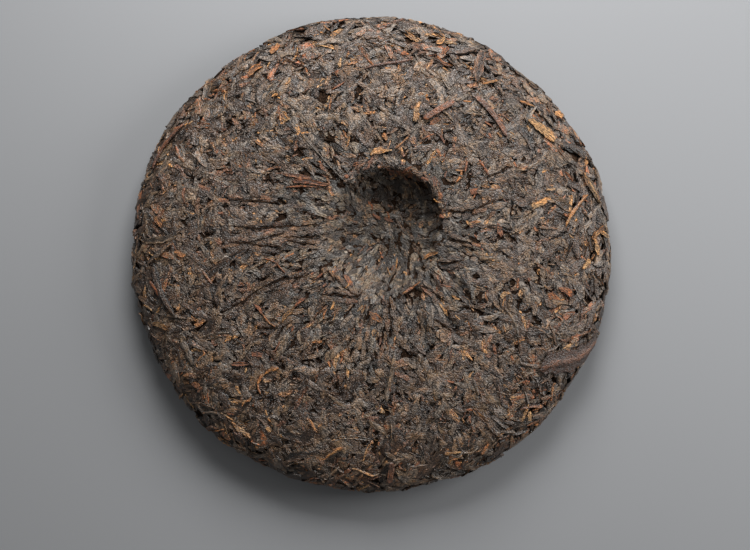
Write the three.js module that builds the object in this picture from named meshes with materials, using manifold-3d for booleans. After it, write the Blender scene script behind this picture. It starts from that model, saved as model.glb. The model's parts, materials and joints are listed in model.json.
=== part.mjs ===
// A pressed cake of ripe pu erh tea, lying flat with the side that carries the knot dimple facing up.
// The cake is one solid: a domed disc with a flat spot to lie on, a deep off-centre dimple where the knot of the
// pressing bag sat, pleats of the bag that fan out from it, and the larger leaves, buds and stalks fused on.
// Millimetres, +Z up, +Y towards the steep wall of the dimple, origin on the floor under the middle of the cake.
import * as THREE from "three";
import { mergeVertices } from "three/addons/utils/BufferGeometryUtils.js";
import Module from "manifold-3d";

const wasm = await Module();
wasm.setup();

// Driving dimensions of the disc.
const CAKE_RADIUS = 98.6;
const CROWN_HEIGHT = 24.2;
const GIRTH_HEIGHT = 9.5;
const REST_RADIUS = 62;
const CROWN_ROUNDNESS = { across: 3, up: 2.2 };
const UNDERSIDE_ROUNDNESS = { across: 2.4, up: 2 };

// The dimple: where it is, how deep, and how far it reaches on its steep side, on its soft side and beside that.
const DIMPLE = { x: 8.5, y: 13.5, depth: 13.5, steepReach: 20.8, sideReach: 23, softReach: 34, lip: 0.9 };
const STEEP_TOWARDS = 55;
const SOFT_TOWARDS = 248;

// Each pleat of the bag: direction in degrees, how far out it runs, and how deep it is pressed in.
const PLEATS = [
  { angle: 5, reach: 62, depth: 0.9 },
  { angle: 30, reach: 50, depth: 0.6 },
  { angle: 95, reach: 52, depth: 0.5 },
  { angle: 125, reach: 66, depth: 0.9 },
  { angle: 145, reach: 58, depth: 0.7 },
  { angle: 165, reach: 68, depth: 0.9 },
  { angle: 180, reach: 74, depth: 1.1 },
  { angle: 195, reach: 70, depth: 1.0 },
  { angle: 210, reach: 76, depth: 1.2 },
  { angle: 230, reach: 60, depth: 1.1 },
  { angle: 250, reach: 50, depth: 0.8 },
  { angle: 270, reach: 64, depth: 0.9 },
  { angle: 290, reach: 72, depth: 1.1 },
  { angle: 305, reach: 70, depth: 1.2 },
  { angle: 320, reach: 74, depth: 1.0 },
  { angle: 340, reach: 60, depth: 0.8 },
];
const PLEAT_WIDTH = 1.8;
const PLEAT_START = 8;

// How finely the disc is faceted. The pleats lie on its meridians, five degrees apart.
const SEGMENTS = 72;
const RING_SPACING = { dimple: 3.4, face: 6.4, rim: 5 };
const DIMPLE_ZONE = 34;
const FACE_ZONE = 84;

// The pressed leaf mass is craggy: each corner of a facet is pushed in or out by up to this much, and less so
// within calmWithin of the dimple's middle.
const CRAGS = { face: 0.5, rim: 0.9, calmWithin: 16 };

// Leaves of the loose rim and of the pressed face, in millimetres.
const RIM_LEAVES = { count: 64, length: [9, 20], width: [2.6, 4.8], thickness: [1.8, 3] };
const FACE_LEAVES = { count: 28, length: [10, 21], width: [2, 3.6], thickness: [1.2, 1.8] };
const LEAF_SIDES = 4;
const LEAF_STEPS = 5;
const DRAW_SEED = 2024;

// Round the flat spot, no crag and no leaf hangs lower than this.
const REST_CLEARANCE = 0.3;

// Joins leave slivers thinner than this where a leaf grazes the disc, and they are smoothed away.
const SLIVER = 0.05;

// The pieces that stand out on the face, placed from the middle of the cake.
const NOTED_PIECES = [
  { name: "large leaf, lower right", x: 84, y: -44, length: 30, width: 9, thickness: 1.6, heading: 28 },
  { name: "red stalk, upper right", x: 31, y: 60, length: 12, width: 2.2, thickness: 1.8, heading: 30 },
  { name: "dark stalk, upper right", x: 51, y: 54, length: 19, width: 2.2, thickness: 2, heading: -56 },
  { name: "golden leaf, right", x: 71, y: 48, length: 13, width: 3.4, thickness: 1.8, heading: -38 },
  { name: "pale bud, right rim", x: 92, y: 29, length: 15, width: 2.6, thickness: 2, heading: -62 },
  { name: "red stalk, left of the dimple", x: -26, y: 29, length: 15, width: 2.4, thickness: 1.5, heading: -10 },
  { name: "long stem, left rim", x: -86, y: 46, length: 24, width: 1.8, thickness: 1.8, heading: 52 },
  { name: "stub of stalk, lower rim", x: 8, y: -91, length: 9, width: 2.4, thickness: 2.4, heading: 84 },
  { name: "yellow stem, lower face", x: -22, y: -76, length: 13, width: 1.8, thickness: 1.4, heading: 38 },
  { name: "long dark leaf, left", x: -81, y: -17, length: 24, width: 2.6, thickness: 1.6, heading: -64 },
];

const TURN = 2 * Math.PI;
const radians = THREE.MathUtils.degToRad;
const smooth = (low, high, x) => THREE.MathUtils.smoothstep(x, low, high);

// A repeatable draw between two limits.
let drawState = DRAW_SEED;
function draw(low, high) {
  drawState = (drawState * 16807) % 2147483647;
  return low + ((high - low) * drawState) / 2147483647;
}

// Half of the cake's section, from the crown over the girth to the edge of the flat spot it lies on.
function halfSection() {
  const steps = 24;
  const points = [];
  for (let i = 0; i <= steps; i++) {
    const a = (i / steps) * (Math.PI / 2);
    const out = CAKE_RADIUS * Math.sin(a) ** (2 / CROWN_ROUNDNESS.across);
    const up = (CROWN_HEIGHT - GIRTH_HEIGHT) * Math.max(0, Math.cos(a)) ** (2 / CROWN_ROUNDNESS.up);
    points.push(new THREE.Vector2(out, GIRTH_HEIGHT + up));
  }
  for (let i = 1; i <= steps; i++) {
    const b = (i / steps) * (Math.PI / 2);
    const share = Math.max(0, Math.cos(b)) ** (2 / UNDERSIDE_ROUNDNESS.across);
    const drop = GIRTH_HEIGHT * Math.sin(b) ** (2 / UNDERSIDE_ROUNDNESS.up);
    points.push(new THREE.Vector2(REST_RADIUS + (CAKE_RADIUS - REST_RADIUS) * share, GIRTH_HEIGHT - drop));
  }
  return new THREE.SplineCurve(points);
}

const section = halfSection();
section.arcLengthDivisions = 400;
const sectionLength = section.getLength();

// The outline is a little lumpy, as hand-pressed cakes are.
function outline(theta) {
  const lumps = 0.4 * Math.cos(2 * theta + 0.9) + 0.3 * Math.cos(5 * theta - 1.1) + 0.3 * Math.cos(9 * theta + 2.3);
  return lumps + 0.25 * Math.cos(17 * theta + 0.4);
}

// Gentle swells over the whole upper face.
function swells(x, y) {
  const broad = 0.4 * Math.sin(x / 13 + 1.3) * Math.sin(y / 11 - 0.6);
  return broad + 0.28 * Math.sin(x / 5.1 - y / 6.3 + 2.1) * Math.cos(y / 4.7 + x / 9.1);
}

// How far the corner of a facet is pushed out of the skin, the same for every corner on one spot.
function crag(theta, ring, out) {
  const column = Math.round((theta * SEGMENTS) / TURN + SEGMENTS) % SEGMENTS;
  const scatter = Math.sin(ring * 127.1 + column * 311.7) * 43758.5453;
  const size = THREE.MathUtils.lerp(CRAGS.face, CRAGS.rim, smooth(0.82, 0.97, out / CAKE_RADIUS));
  return size * smooth(0, CRAGS.calmWithin, out) * (2 * (scatter - Math.floor(scatter)) - 1);
}

// How steep the dimple's wall is in a direction: 1 towards its steep side, 0 towards its soft side.
function steepness(theta) {
  return (0.5 + 0.5 * Math.cos(theta - radians(STEEP_TOWARDS))) ** 1.2;
}

// How soft its slope is in a direction: 1 towards its soft side, 0 beside it.
function softness(theta) {
  return Math.max(0, Math.cos(theta - radians(SOFT_TOWARDS))) ** 2;
}

// Depth of the dimple at a distance from its middle.
function dimpleDepth(theta, distance) {
  const steep = steepness(theta);
  const soft = softness(theta);
  const flank = THREE.MathUtils.lerp(DIMPLE.sideReach, DIMPLE.softReach, soft);
  const reach = THREE.MathUtils.lerp(flank, DIMPLE.steepReach, steep);
  const share = distance / reach;
  const lip = DIMPLE.lip * steep * Math.exp(-(((share - 1.1) / 0.12) ** 2));
  if (share >= 1) return -lip;
  const bowl = THREE.MathUtils.lerp(THREE.MathUtils.lerp(1.8, 3, soft), 3.6, steep);
  return DIMPLE.depth * (1 - share ** bowl) ** 1.15 - lip;
}

// Depth of the bag's pleats at a direction and distance from the dimple's middle.
function pleatDepth(theta, distance) {
  let depth = 0;
  for (const pleat of PLEATS) {
    const turn = Math.atan2(Math.sin(theta - radians(pleat.angle)), Math.cos(theta - radians(pleat.angle)));
    const aside = (turn * distance) / PLEAT_WIDTH;
    const fade = smooth(PLEAT_START, PLEAT_START + 10, distance) * (1 - smooth(pleat.reach - 26, pleat.reach, distance));
    depth += pleat.depth * fade * Math.exp(-aside * aside);
  }
  return depth;
}

// A point of the cake's skin: theta runs round it, and share runs from the dimple's middle to the flat spot.
function skin(theta, share) {
  const spot = section.getPointAt(THREE.MathUtils.clamp(share, 0, 1));
  const upper = spot.y > GIRTH_HEIGHT;
  const inward = spot.x / CAKE_RADIUS;
  const lean = upper ? (1 - inward * inward) ** 2 : 0;
  const swing = smooth(0.6, 1, inward) * outline(theta);
  const x = (spot.x + swing) * Math.cos(theta) + lean * DIMPLE.x;
  const y = (spot.x + swing) * Math.sin(theta) + lean * DIMPLE.y;
  let z = spot.y;
  if (upper) {
    const settle = smooth(GIRTH_HEIGHT, GIRTH_HEIGHT + 6, spot.y);
    z += settle * (swells(x, y) - dimpleDepth(theta, spot.x) - pleatDepth(theta, spot.x));
  }
  return new THREE.Vector3(x, y, z);
}

// The outward direction of the skin at a place.
function outward(theta, share) {
  const stepRound = 0.01;
  const stepDown = 0.004;
  const round = skin(theta + stepRound, share).sub(skin(theta - stepRound, share));
  const low = THREE.MathUtils.clamp(share - stepDown, 0, 1);
  const high = THREE.MathUtils.clamp(share + stepDown, 0, 1);
  const down = skin(theta, high).sub(skin(theta, low));
  return down.cross(round).normalize();
}

// Where the rings of facets lie along the section, closer together in the dimple and round the rim.
function ringShares() {
  const shares = [0];
  let along = 0;
  while (along < sectionLength) {
    const out = section.getPointAt(along / sectionLength).x;
    const fine = out < DIMPLE_ZONE ? RING_SPACING.dimple : out < FACE_ZONE ? RING_SPACING.face : RING_SPACING.rim;
    along += fine;
    shares.push(Math.min(1, along / sectionLength));
  }
  return shares;
}

// The disc itself: a turned profile whose rings are then moved onto the skin.
function discGeometry() {
  const shares = ringShares();
  const profile = shares.map((share, i) => new THREE.Vector2(i ? section.getPointAt(share).x : 0, -i));
  profile.push(new THREE.Vector2(0, -shares.length));
  const geometry = new THREE.LatheGeometry(profile.reverse(), SEGMENTS);
  const place = geometry.getAttribute("position");
  for (let i = 0; i < place.count; i++) {
    const ring = Math.round(-place.getY(i));
    const theta = Math.atan2(place.getX(i), place.getZ(i));
    const spot = new THREE.Vector3();
    if (ring < shares.length) spot.copy(skin(theta, shares[ring]));
    if (ring > 0 && ring < shares.length - 2) {
      const out = section.getPointAt(shares[ring]).x;
      spot.addScaledVector(outward(theta, shares[ring]), crag(theta, ring, out));
    }
    spot.z = ring >= shares.length - 1 ? 0 : Math.max(REST_CLEARANCE, spot.z);
    place.setXYZ(i, spot.x, spot.y, spot.z);
  }
  return geometry;
}

// A leaf, bud or stalk: a spindle laid on the skin, bent over it and sunk to half its thickness or more.
function leafGeometry({ theta, share, length, width, thickness, heading, sink = 0.35 }) {
  const geometry = new THREE.SphereGeometry(1, LEAF_SIDES, LEAF_STEPS);
  const place = geometry.getAttribute("position");
  const radius = Math.max(12, section.getPointAt(share).x);
  const cos = Math.cos(heading);
  const sin = Math.sin(heading);
  for (let i = 0; i < place.count; i++) {
    const along = (place.getY(i) * length) / 2;
    const aside = (place.getX(i) * width) / 2;
    const lift = thickness * (place.getZ(i) / 2 + 0.5 - sink);
    const turn = theta + (along * sin - aside * cos) / radius;
    const run = share + (along * cos + aside * sin) / sectionLength;
    const spot = skin(turn, run).addScaledVector(outward(turn, run), lift);
    place.setXYZ(i, spot.x, spot.y, Math.max(REST_CLEARANCE, spot.z));
  }
  return geometry;
}

// The place on the section whose skin is nearest above a point of the upper face.
function placeOnFace(x, y) {
  let theta = Math.atan2(y, x);
  let share = 0;
  let nearest = Infinity;
  for (let step = 0; step < 4000; step++) {
    const tryShare = 0.03 + 0.75 * ((step % 80) / 80);
    const tryTheta = Math.atan2(y, x) + radians(2 * (Math.floor(step / 80) - 25));
    const spot = skin(tryTheta, tryShare);
    const gap = Math.hypot(spot.x - x, spot.y - y) + (spot.z < GIRTH_HEIGHT ? 50 : 0);
    if (gap < nearest) {
      nearest = gap;
      theta = tryTheta;
      share = tryShare;
    }
  }
  return { theta, share };
}

// Loose leaves round the shoulder and edge, mostly lying along the rim.
function rimLeaves() {
  const leaves = [];
  for (let i = 0; i < RIM_LEAVES.count; i++) {
    const theta = ((i + draw(0.1, 0.9)) / RIM_LEAVES.count) * TURN;
    const share = draw(0.66, 0.86);
    const heading = Math.PI / 2 + radians(draw(-50, 50));
    const size = {
      length: draw(...RIM_LEAVES.length),
      width: draw(...RIM_LEAVES.width),
      thickness: draw(...RIM_LEAVES.thickness),
    };
    leaves.push({ theta, share, heading, ...size });
  }
  return leaves;
}

// Pressed leaves of the face: they point at the dimple near it, and any way further out.
function faceLeaves() {
  const leaves = [];
  for (let i = 0; i < FACE_LEAVES.count; i++) {
    const theta = i * Math.PI * (3 - Math.sqrt(5));
    const share = THREE.MathUtils.lerp(0.3, 0.66, Math.sqrt((i + 0.5) / FACE_LEAVES.count));
    const spread = THREE.MathUtils.lerp(15, 90, smooth(0.35, 0.6, share));
    const heading = radians(draw(-spread, spread));
    const size = {
      length: draw(...FACE_LEAVES.length),
      width: draw(...FACE_LEAVES.width),
      thickness: draw(...FACE_LEAVES.thickness),
    };
    leaves.push({ theta, share, heading, sink: 0.5, ...size });
  }
  return leaves;
}

// The noted pieces, with their headings turned from the cake's X axis to the local outward direction.
function notedLeaves() {
  return NOTED_PIECES.map(({ x, y, heading, length, width, thickness }) => {
    const { theta, share } = placeOnFace(x, y);
    return { theta, share, heading: radians(heading) - theta, length, width, thickness };
  });
}

// A closed solid from a geometry's positions.
function solidOf(geometry) {
  const bare = geometry.clone();
  bare.deleteAttribute("normal");
  bare.deleteAttribute("uv");
  const merged = mergeVertices(bare, 1e-4);
  const vertProperties = Float32Array.from(merged.getAttribute("position").array);
  const triVerts = Uint32Array.from(merged.index.array);
  return new wasm.Manifold(new wasm.Mesh({ numProp: 3, vertProperties, triVerts }));
}

// The outer body of a union, with no sealed hollow and no loose scrap.
function outerBody(solid) {
  return solid.decompose().reduce((best, body) => (body.volume() > best.volume() ? body : best));
}

function geometryOf(solid) {
  const mesh = solid.getMesh();
  const places = new Float32Array(mesh.numVert * 3);
  for (let i = 0; i < mesh.numVert; i++) {
    places.set(mesh.vertProperties.subarray(i * mesh.numProp, i * mesh.numProp + 3), i * 3);
  }
  const geometry = new THREE.BufferGeometry();
  geometry.setAttribute("position", new THREE.BufferAttribute(places, 3));
  geometry.setIndex(new THREE.BufferAttribute(mesh.triVerts, 1));
  geometry.computeVertexNormals();
  return geometry;
}

// The cake: the disc with its leaves fused on, centred over the origin.
function teaCake() {
  const leaves = [...rimLeaves(), ...faceLeaves(), ...notedLeaves()];
  const solids = [discGeometry(), ...leaves.map(leafGeometry)].map(solidOf);
  const geometry = geometryOf(outerBody(wasm.Manifold.union(solids).simplify(SLIVER)));
  geometry.computeBoundingBox();
  const { min, max } = geometry.boundingBox;
  geometry.translate(-(min.x + max.x) / 2, -(min.y + max.y) / 2, -min.z);
  const leafBrown = new THREE.MeshStandardMaterial({ color: 0x3f352e, roughness: 0.7, metalness: 0 });
  const cake = new THREE.Mesh(geometry, leafBrown);
  cake.name = "tea_cake";
  return cake;
}

const group = new THREE.Group();
group.add(teaCake());

export default group;
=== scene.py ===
"""A pressed cake of ripe pu erh tea, built leaf by leaf over its core, lying flat with its dimple facing up.

The cake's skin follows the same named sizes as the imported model. Lengths are written in millimetres and
turned into metres where a mesh is made.
"""
import json
import math

import bpy
import numpy as np
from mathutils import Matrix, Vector, noise

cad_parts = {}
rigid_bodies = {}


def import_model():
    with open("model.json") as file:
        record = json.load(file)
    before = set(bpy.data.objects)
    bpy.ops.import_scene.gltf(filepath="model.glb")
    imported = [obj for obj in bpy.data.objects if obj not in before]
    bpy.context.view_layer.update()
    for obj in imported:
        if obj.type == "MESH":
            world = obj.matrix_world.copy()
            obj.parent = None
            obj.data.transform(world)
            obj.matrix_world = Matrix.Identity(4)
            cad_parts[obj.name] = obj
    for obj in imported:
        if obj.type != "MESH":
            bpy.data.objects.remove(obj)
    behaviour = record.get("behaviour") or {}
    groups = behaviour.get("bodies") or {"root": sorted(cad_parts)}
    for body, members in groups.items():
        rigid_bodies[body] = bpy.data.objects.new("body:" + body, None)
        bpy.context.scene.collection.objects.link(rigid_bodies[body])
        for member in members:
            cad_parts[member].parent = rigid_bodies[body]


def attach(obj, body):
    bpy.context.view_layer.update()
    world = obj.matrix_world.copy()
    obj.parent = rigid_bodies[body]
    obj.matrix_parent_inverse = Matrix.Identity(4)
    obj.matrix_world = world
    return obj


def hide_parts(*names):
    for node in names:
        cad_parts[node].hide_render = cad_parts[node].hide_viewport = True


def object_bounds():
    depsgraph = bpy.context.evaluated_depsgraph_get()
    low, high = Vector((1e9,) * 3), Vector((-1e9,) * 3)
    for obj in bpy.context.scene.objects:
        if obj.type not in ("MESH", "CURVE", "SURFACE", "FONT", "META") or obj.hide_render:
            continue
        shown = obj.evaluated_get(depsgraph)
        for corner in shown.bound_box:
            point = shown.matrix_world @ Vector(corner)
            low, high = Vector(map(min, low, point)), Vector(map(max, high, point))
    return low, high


bl_info = {
    "name": "Pressed Tea Cake",
    "version": (1, 0, 0),
    "blender": (4, 5, 0),
    "location": "3D View > Sidebar > Tea Cake",
    "description": "Builds a pressed cake of ripe tea leaves over its core, and the stage it lies on",
    "category": "Add Mesh",
}

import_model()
CAD_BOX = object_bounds()
NODE = "tea_cake"
BODY = "root"
MM = 0.001
TURN = 2 * math.pi

# The photograph's frame, and where the cake's outline lies in it, in its pixels.
PHOTO_SIZE = (750, 550)
OUTLINE_CENTRE = (371, 251)
OUTLINE_ACROSS = 477

# The upper face in the photograph: pixels a millimetre, how much the tilt of the view shortens it, and how
# far its height over the cake's middle shifts it up, in millimetres.
FACE_PIXELS = 2.45
FACE_FORESHORTENING = 0.996
FACE_SHIFT = 1.0

# Each main pleat of the pressing bag: direction in degrees, how far out it runs, and how deep it is pressed
# in.
PLEATS = (
    (5, 62, 0.9),
    (30, 50, 0.6),
    (95, 52, 0.5),
    (125, 66, 0.9),
    (145, 58, 0.7),
    (165, 68, 0.9),
    (180, 74, 1.1),
    (195, 70, 1.0),
    (210, 76, 1.2),
    (230, 60, 1.1),
    (250, 50, 0.8),
    (270, 64, 0.9),
    (290, 72, 1.1),
    (305, 70, 1.2),
    (320, 74, 1.0),
    (340, 60, 0.8),
)
PLEAT_WIDTH = 1.8
PLEAT_START = 8
PLEAT_FADE = 26

# Fine gathers of the bag between the main pleats, which only the finished surface has.
GATHERS = {
    "count": 76, "start": (6, 15), "reach": (22, 62), "depth": (0.2, 0.65), "width": (0.45, 0.9), "seed": 11,
}

# Noises that make the core crumbly and its loose edge blotchy: each one's height or share, and its size.
CRUMBS = ((0.24, 1.5), (0.2, 3.3))
BLOTCHES = ((1, 9), (0.6, 24))

# Where the folds meet, from the dimple's middle, in millimetres, and which way they run right there.
FOLDS_MEET = (2.1, -5)
FOLDS_ASLANT = (0.64, -0.77, 0)

# The direction in which the loose edge is widest, in degrees.
RIM_WIDEST = 40

# Open cracks of the upper face between its folds: both ends, as seen in the photograph's pixels.
CRACKS = (
    (223, 311, 242, 302),
    (242, 302, 259, 289),
    (259, 289, 282, 279),
    (282, 279, 308, 276),
    (292, 284, 306, 273),
    (278, 338, 283, 328),
    (283, 328, 291, 322),
    (258, 328, 276, 328),
    (230, 226, 254, 228),
    (254, 228, 319, 225),
    (230, 242, 246, 243),
    (242, 243, 280, 247),
    (246, 243, 283, 233),
    (285, 237, 319, 237),
    (288, 241, 314, 245),
    (230, 199, 275, 202),
    (443, 211, 472, 211),
    (472, 210, 494, 201),
    (487, 178, 512, 166),
    (450, 240, 469, 243),
    (442, 264, 460, 262),
    (423, 286, 442, 299),
    (436, 320, 452, 331),
    (329, 274, 345, 289),
    (345, 289, 357, 297),
    (324, 294, 357, 298),
    (389, 300, 392, 330),
)
CRACK = {"half_width": 0.4, "depth": 0.7}

# The leaves on both sides of a crack, and the dark dust along it, which is also painted shade in the crack, in
# millimetres. Step is the distance from one leaf to the next as a share of their mean length. Turn is in
# degrees, either way from the crack. Sink is the share of its thickness by which a leaf lies in the skin, here
# and below.
CRACK_LIPS = {
    "step": 0.7, "length": (3.5, 8), "width": (1.6, 3.2), "thickness": 0.75, "gap": (0.1, 0.4),
    "turn": 9, "sink": 0.72, "tint": (0.1, 0.6), "bend": 0.3,
}
CRACK_DUST_AND_SHADE = {
    "spacing": 2.6, "length": (3, 5.5), "width": (0.25, 0.55), "thickness": 0.5, "aside": 0.2, "turn": 14,
    "sink": 0.1,
}

# The sharp edge of the dimple, along which small leaves stand out, in the photograph's pixels.
DIMPLE_EDGE = (
    (347, 178), (360, 168), (376, 163), (394, 170), (410, 173),
    (424, 178), (434, 188), (441, 201), (444, 217),
)
EDGE_LEAVES = {
    "spacing": 1.2, "length": (2.2, 5.5), "width": (0.8, 2.2), "thickness": (0.5, 0.9), "turn": 38,
    "aside": (-0.5, 1.9), "sink": 0.25, "bend": 0.6,
}

# The large leaves of the rim and the face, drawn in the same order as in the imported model. Share is how far
# down the section they lie, and turn is in degrees, either way.
RIM_LEAVES = {
    "count": 64, "length": (9, 20), "width": (2.6, 4.8), "thickness": (1.8, 3), "share": (0.66, 0.86),
    "turn": 50, "sink": 0.6,
}
FACE_LEAVES = {
    "count": 28, "length": (10, 21), "width": (2, 3.6), "thickness": (1.2, 1.8), "share": (0.3, 0.66),
    "turn": (15, 90), "sink": 0.72,
}
LARGE_FORMS = ("folded", "channel", "ridged")
GOLDEN_ANGLE = math.pi * (3 - math.sqrt(5))
DRAW_SEED = 2024
EDGE_SEED = 5
NOTED_SEED = 7

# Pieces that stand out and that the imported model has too, in millimetres and degrees from the cake's X axis:
# group, form, x, y, length, width, thickness, heading, bend, tint.
NOTED_PIECES = (
    ("stalk", "folded", 81.6, -45.3, 30, 9, 1.6, 28, 1, 0.3),
    ("stalk", "square", 28, 57.3, 15.5, 2.3, 1.8, 30, 0, 0.5),
    ("stalk", "square", 49.6, 54.9, 22, 2.0, 2, -53, 0.8, 0.3),
    ("bud", "flat", 70.2, 49.2, 14.5, 4.2, 1.8, -39, 0.5, 0.95),
    ("bud", "folded", 91, 26, 15, 2.8, 2, -58, -0.6, 0.98),
    ("bud", "channel", -25, 27, 15, 2.2, 1.4, -8, 0.4, 0.45),
    ("stalk", "ridged", -84, 43.5, 24, 1.8, 1.8, 52, 1, 0.35),
    ("stalk", "square", 8, -91, 9, 2.4, 2.4, 84, 0, 0.3),
    ("bud", "ridged", -15.5, -83.5, 10, 1.8, 1.4, 32, 0.5, 0.8),
    ("dark_leaf", "ridged", -85.5, -17, 24, 2.4, 1.6, -70, -0.5, 0.3),
)

# Smaller pieces that stand out on the upper face, by both ends in the photograph's pixels and their width in
# millimetres: group, form, x, y, x, y, width, bend, tint.
SMALL_PIECES = (
    ("dark_leaf", "flat", 456, 99, 470, 93, 2.0, 0, 0.7),
    ("bud", "flat", 494, 112, 505, 122, 1.8, 0, 0.5),
    ("bud", "ridged", 498, 131, 503, 136, 1.2, 0, 0.85),
    ("bud", "ridged", 521, 98, 537, 104, 1.0, 0, 0.8),
    ("bud", "ridged", 483, 82, 500, 78, 1.2, 0.3, 0.85),
    ("stalk", "ridged", 480, 159, 490, 175, 1.2, 0, 0.75),
    ("bud", "flat", 532, 207, 553, 198, 2.6, 0.2, 0.98),
    ("bud", "flake", 498, 223, 503, 238, 3.4, 0, 0.45),
    ("bud", "flake", 485, 131, 493, 138, 2.8, 0, 0.4),
    ("bud", "flake", 469, 194, 481, 188, 2.8, 0, 0.35),
    ("stalk", "ridged", 566, 227, 590, 192, 1.7, 0.8, 1.0),
    ("bud", "flat", 596, 237, 600, 255, 1.8, 0, 0.95),
    ("bud", "channel", 595, 236, 603, 230, 1.2, 0.3, 1.0),
    ("bud", "channel", 602, 230, 609, 236, 1.4, 0.3, 1.0),
    ("bud", "flat", 583, 269, 591, 258, 2.0, 0, 0.9),
    ("bud", "flake", 557, 106, 566, 114, 3.6, 0, 0.9),
    ("bud", "flat", 559, 287, 573, 296, 2.6, 0.6, 0.5),
    ("bud", "flake", 547, 293, 561, 301, 3.2, 0, 0.6),
    ("dark_leaf", "channel", 560, 168, 573, 163, 1.0, 1.4, 0.75),
    ("dark_leaf", "channel", 573, 164, 578, 178, 1.0, 1.2, 0.8),
    ("bud", "channel", 282, 174, 312, 179, 1.8, 0.3, 0.5),
    ("bud", "ridged", 298, 178, 330, 184, 1.1, -0.3, 0.6),
    ("bud", "ridged", 285, 187, 318, 187, 0.9, 0.3, 0.5),
    ("thread", "ridged", 299, 131, 345, 181, 0.55, -0.4, 0.6),
    ("brown_leaf", "flat", 369, 154, 393, 149, 2.4, 0.2, 0.95),
    ("bud", "ridged", 394, 149, 411, 133, 0.9, -0.4, 0.7),
    ("brown_leaf", "flat", 420, 99, 414, 121, 2.4, 0.2, 0.95),
    ("bud", "flake", 430, 124, 441, 116, 2.8, 0, 0.6),
    ("dark_leaf", "ridged", 443, 109, 455, 121, 1.2, 0.2, 0.7),
    ("brown_leaf", "flake", 409, 41, 424, 44, 4.6, 0, 0.65),
    ("bud", "flake", 401, 48, 410, 51, 2.2, 0, 0.5),
    ("bud", "channel", 443, 52, 450, 43, 1.6, 0.3, 0.55),
    ("stalk", "ridged", 362, 66, 413, 56, 1.3, 0.2, 0.35),
    ("stalk", "ridged", 331, 88, 345, 79, 0.9, 0, 0.7),
    ("bud", "flat", 384, 132, 387, 140, 1.8, 0, 0.7),
    ("dark_leaf", "channel", 158, 160, 151, 148, 1.8, 0.2, 0.3),
    ("dark_leaf", "ridged", 152, 350, 158, 361, 1.6, 0.2, 0.1),
    ("bud", "flake", 371, 210, 382, 216, 1.8, 0, 0.35),
    ("bud", "flake", 384, 214, 395, 219, 1.6, 0, 0.3),
    ("bud", "ridged", 380, 248, 384, 257, 0.9, 0, 0.45),
    ("bud", "ridged", 387, 266, 391, 275, 0.8, 0, 0.95),
    ("bud", "flake", 343, 272, 353, 287, 2.4, 0, 0.5),
    ("bud", "channel", 424, 260, 439, 252, 1.3, 0.3, 0.85),
    ("bud", "ridged", 401, 295, 421, 281, 1.2, -0.3, 0.6),
    ("bud", "flat", 438, 303, 449, 316, 1.8, 0, 0.9),
    ("bud", "flake", 368, 312, 384, 323, 3.2, 0, 0.65),
    ("stalk", "ridged", 264, 258, 276, 263, 0.7, 0, 0.7),
    ("stalk", "ridged", 276, 263, 285, 274, 0.7, 0, 0.7),
    ("bud", "channel", 282, 323, 295, 307, 1.6, 0.6, 0.85),
    ("bud", "ridged", 294, 307, 306, 298, 1.6, 0.3, 0.4),
    ("bud", "flat", 253, 303, 263, 315, 1.4, 0.3, 0.35),
    ("bud", "ridged", 262, 314, 276, 327, 1.2, -0.3, 0.65),
    ("stalk", "ridged", 257, 384, 265, 373, 1.7, 0.3, 0.9),
    ("stalk", "ridged", 264, 374, 279, 367, 1.8, 0.4, 0.95),
    ("stalk", "ridged", 257, 383, 260, 394, 0.9, 0.2, 0.9),
    ("bud", "flake", 193, 327, 206, 319, 2.6, 0, 0.75),
    ("bud", "flake", 249, 353, 265, 355, 2.4, 0, 0.45),
    ("bud", "channel", 231, 364, 249, 364, 1.8, 0.4, 0.5),
    ("stalk", "ridged", 203, 350, 203, 356, 0.9, 0.5, 0.9),
    ("stalk", "ridged", 203, 355, 198, 361, 0.8, -0.3, 0.9),
    ("bud", "ridged", 242, 405, 247, 399, 1.4, 0.2, 0.85),
    ("bud", "ridged", 246, 401, 252, 396, 1.2, -0.2, 0.7),
    ("bud", "flake", 266, 425, 273, 431, 2.2, 0, 1.0),
    ("bud", "channel", 246, 72, 262, 62, 2.6, 0.4, 0.7),
    ("bud", "flake", 267, 49, 280, 37, 3.4, 0, 0.7),
    ("stalk", "ridged", 148, 280, 160, 297, 2.0, 0.3, 0.7),
    ("bud", "ridged", 143, 303, 152, 310, 1.0, 0.2, 0.95),
    ("bud", "channel", 152, 322, 169, 329, 2.2, 0.4, 0.9),
    ("bud", "flake", 172, 250, 186, 256, 2.6, 0, 0.7),
    ("stalk", "ridged", 202, 271, 212, 284, 1.2, 0, 0.85),
    ("dark_leaf", "ridged", 146, 263, 172, 242, 2.0, 0.5, 0.95),
    ("bud", "flake", 152, 214, 162, 226, 3.2, 0, 0.75),
    ("bud", "flake", 191, 381, 201, 387, 2.6, 0, 0.6),
    ("bud", "ridged", 183, 391, 176, 398, 1.4, 0.3, 0.8),
    ("bud", "channel", 437, 40, 447, 33, 2.0, 0, 0.9),
    ("brown_leaf", "channel", 483, 47, 477, 80, 3.8, 0.3, 0.5),
    ("dark_leaf", "flake", 546, 147, 565, 169, 7.5, 0, 0.75),
    ("dark_leaf", "flake", 505, 95, 522, 108, 5.5, 0, 0.65),
    ("dark_leaf", "flake", 562, 149, 577, 163, 4.2, 0, 0.5),
    ("dark_leaf", "ridged", 546, 112, 556, 124, 2.2, 0, 0.6),
    ("dark_leaf", "flake", 528, 172, 537, 185, 3.2, 0, 0.7),
    ("dark_leaf", "flake", 446, 196, 466, 212, 5.5, 0, 0.8),
    ("dark_leaf", "flake", 383, 154, 400, 167, 4.2, 0, 0.8),
)

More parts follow.
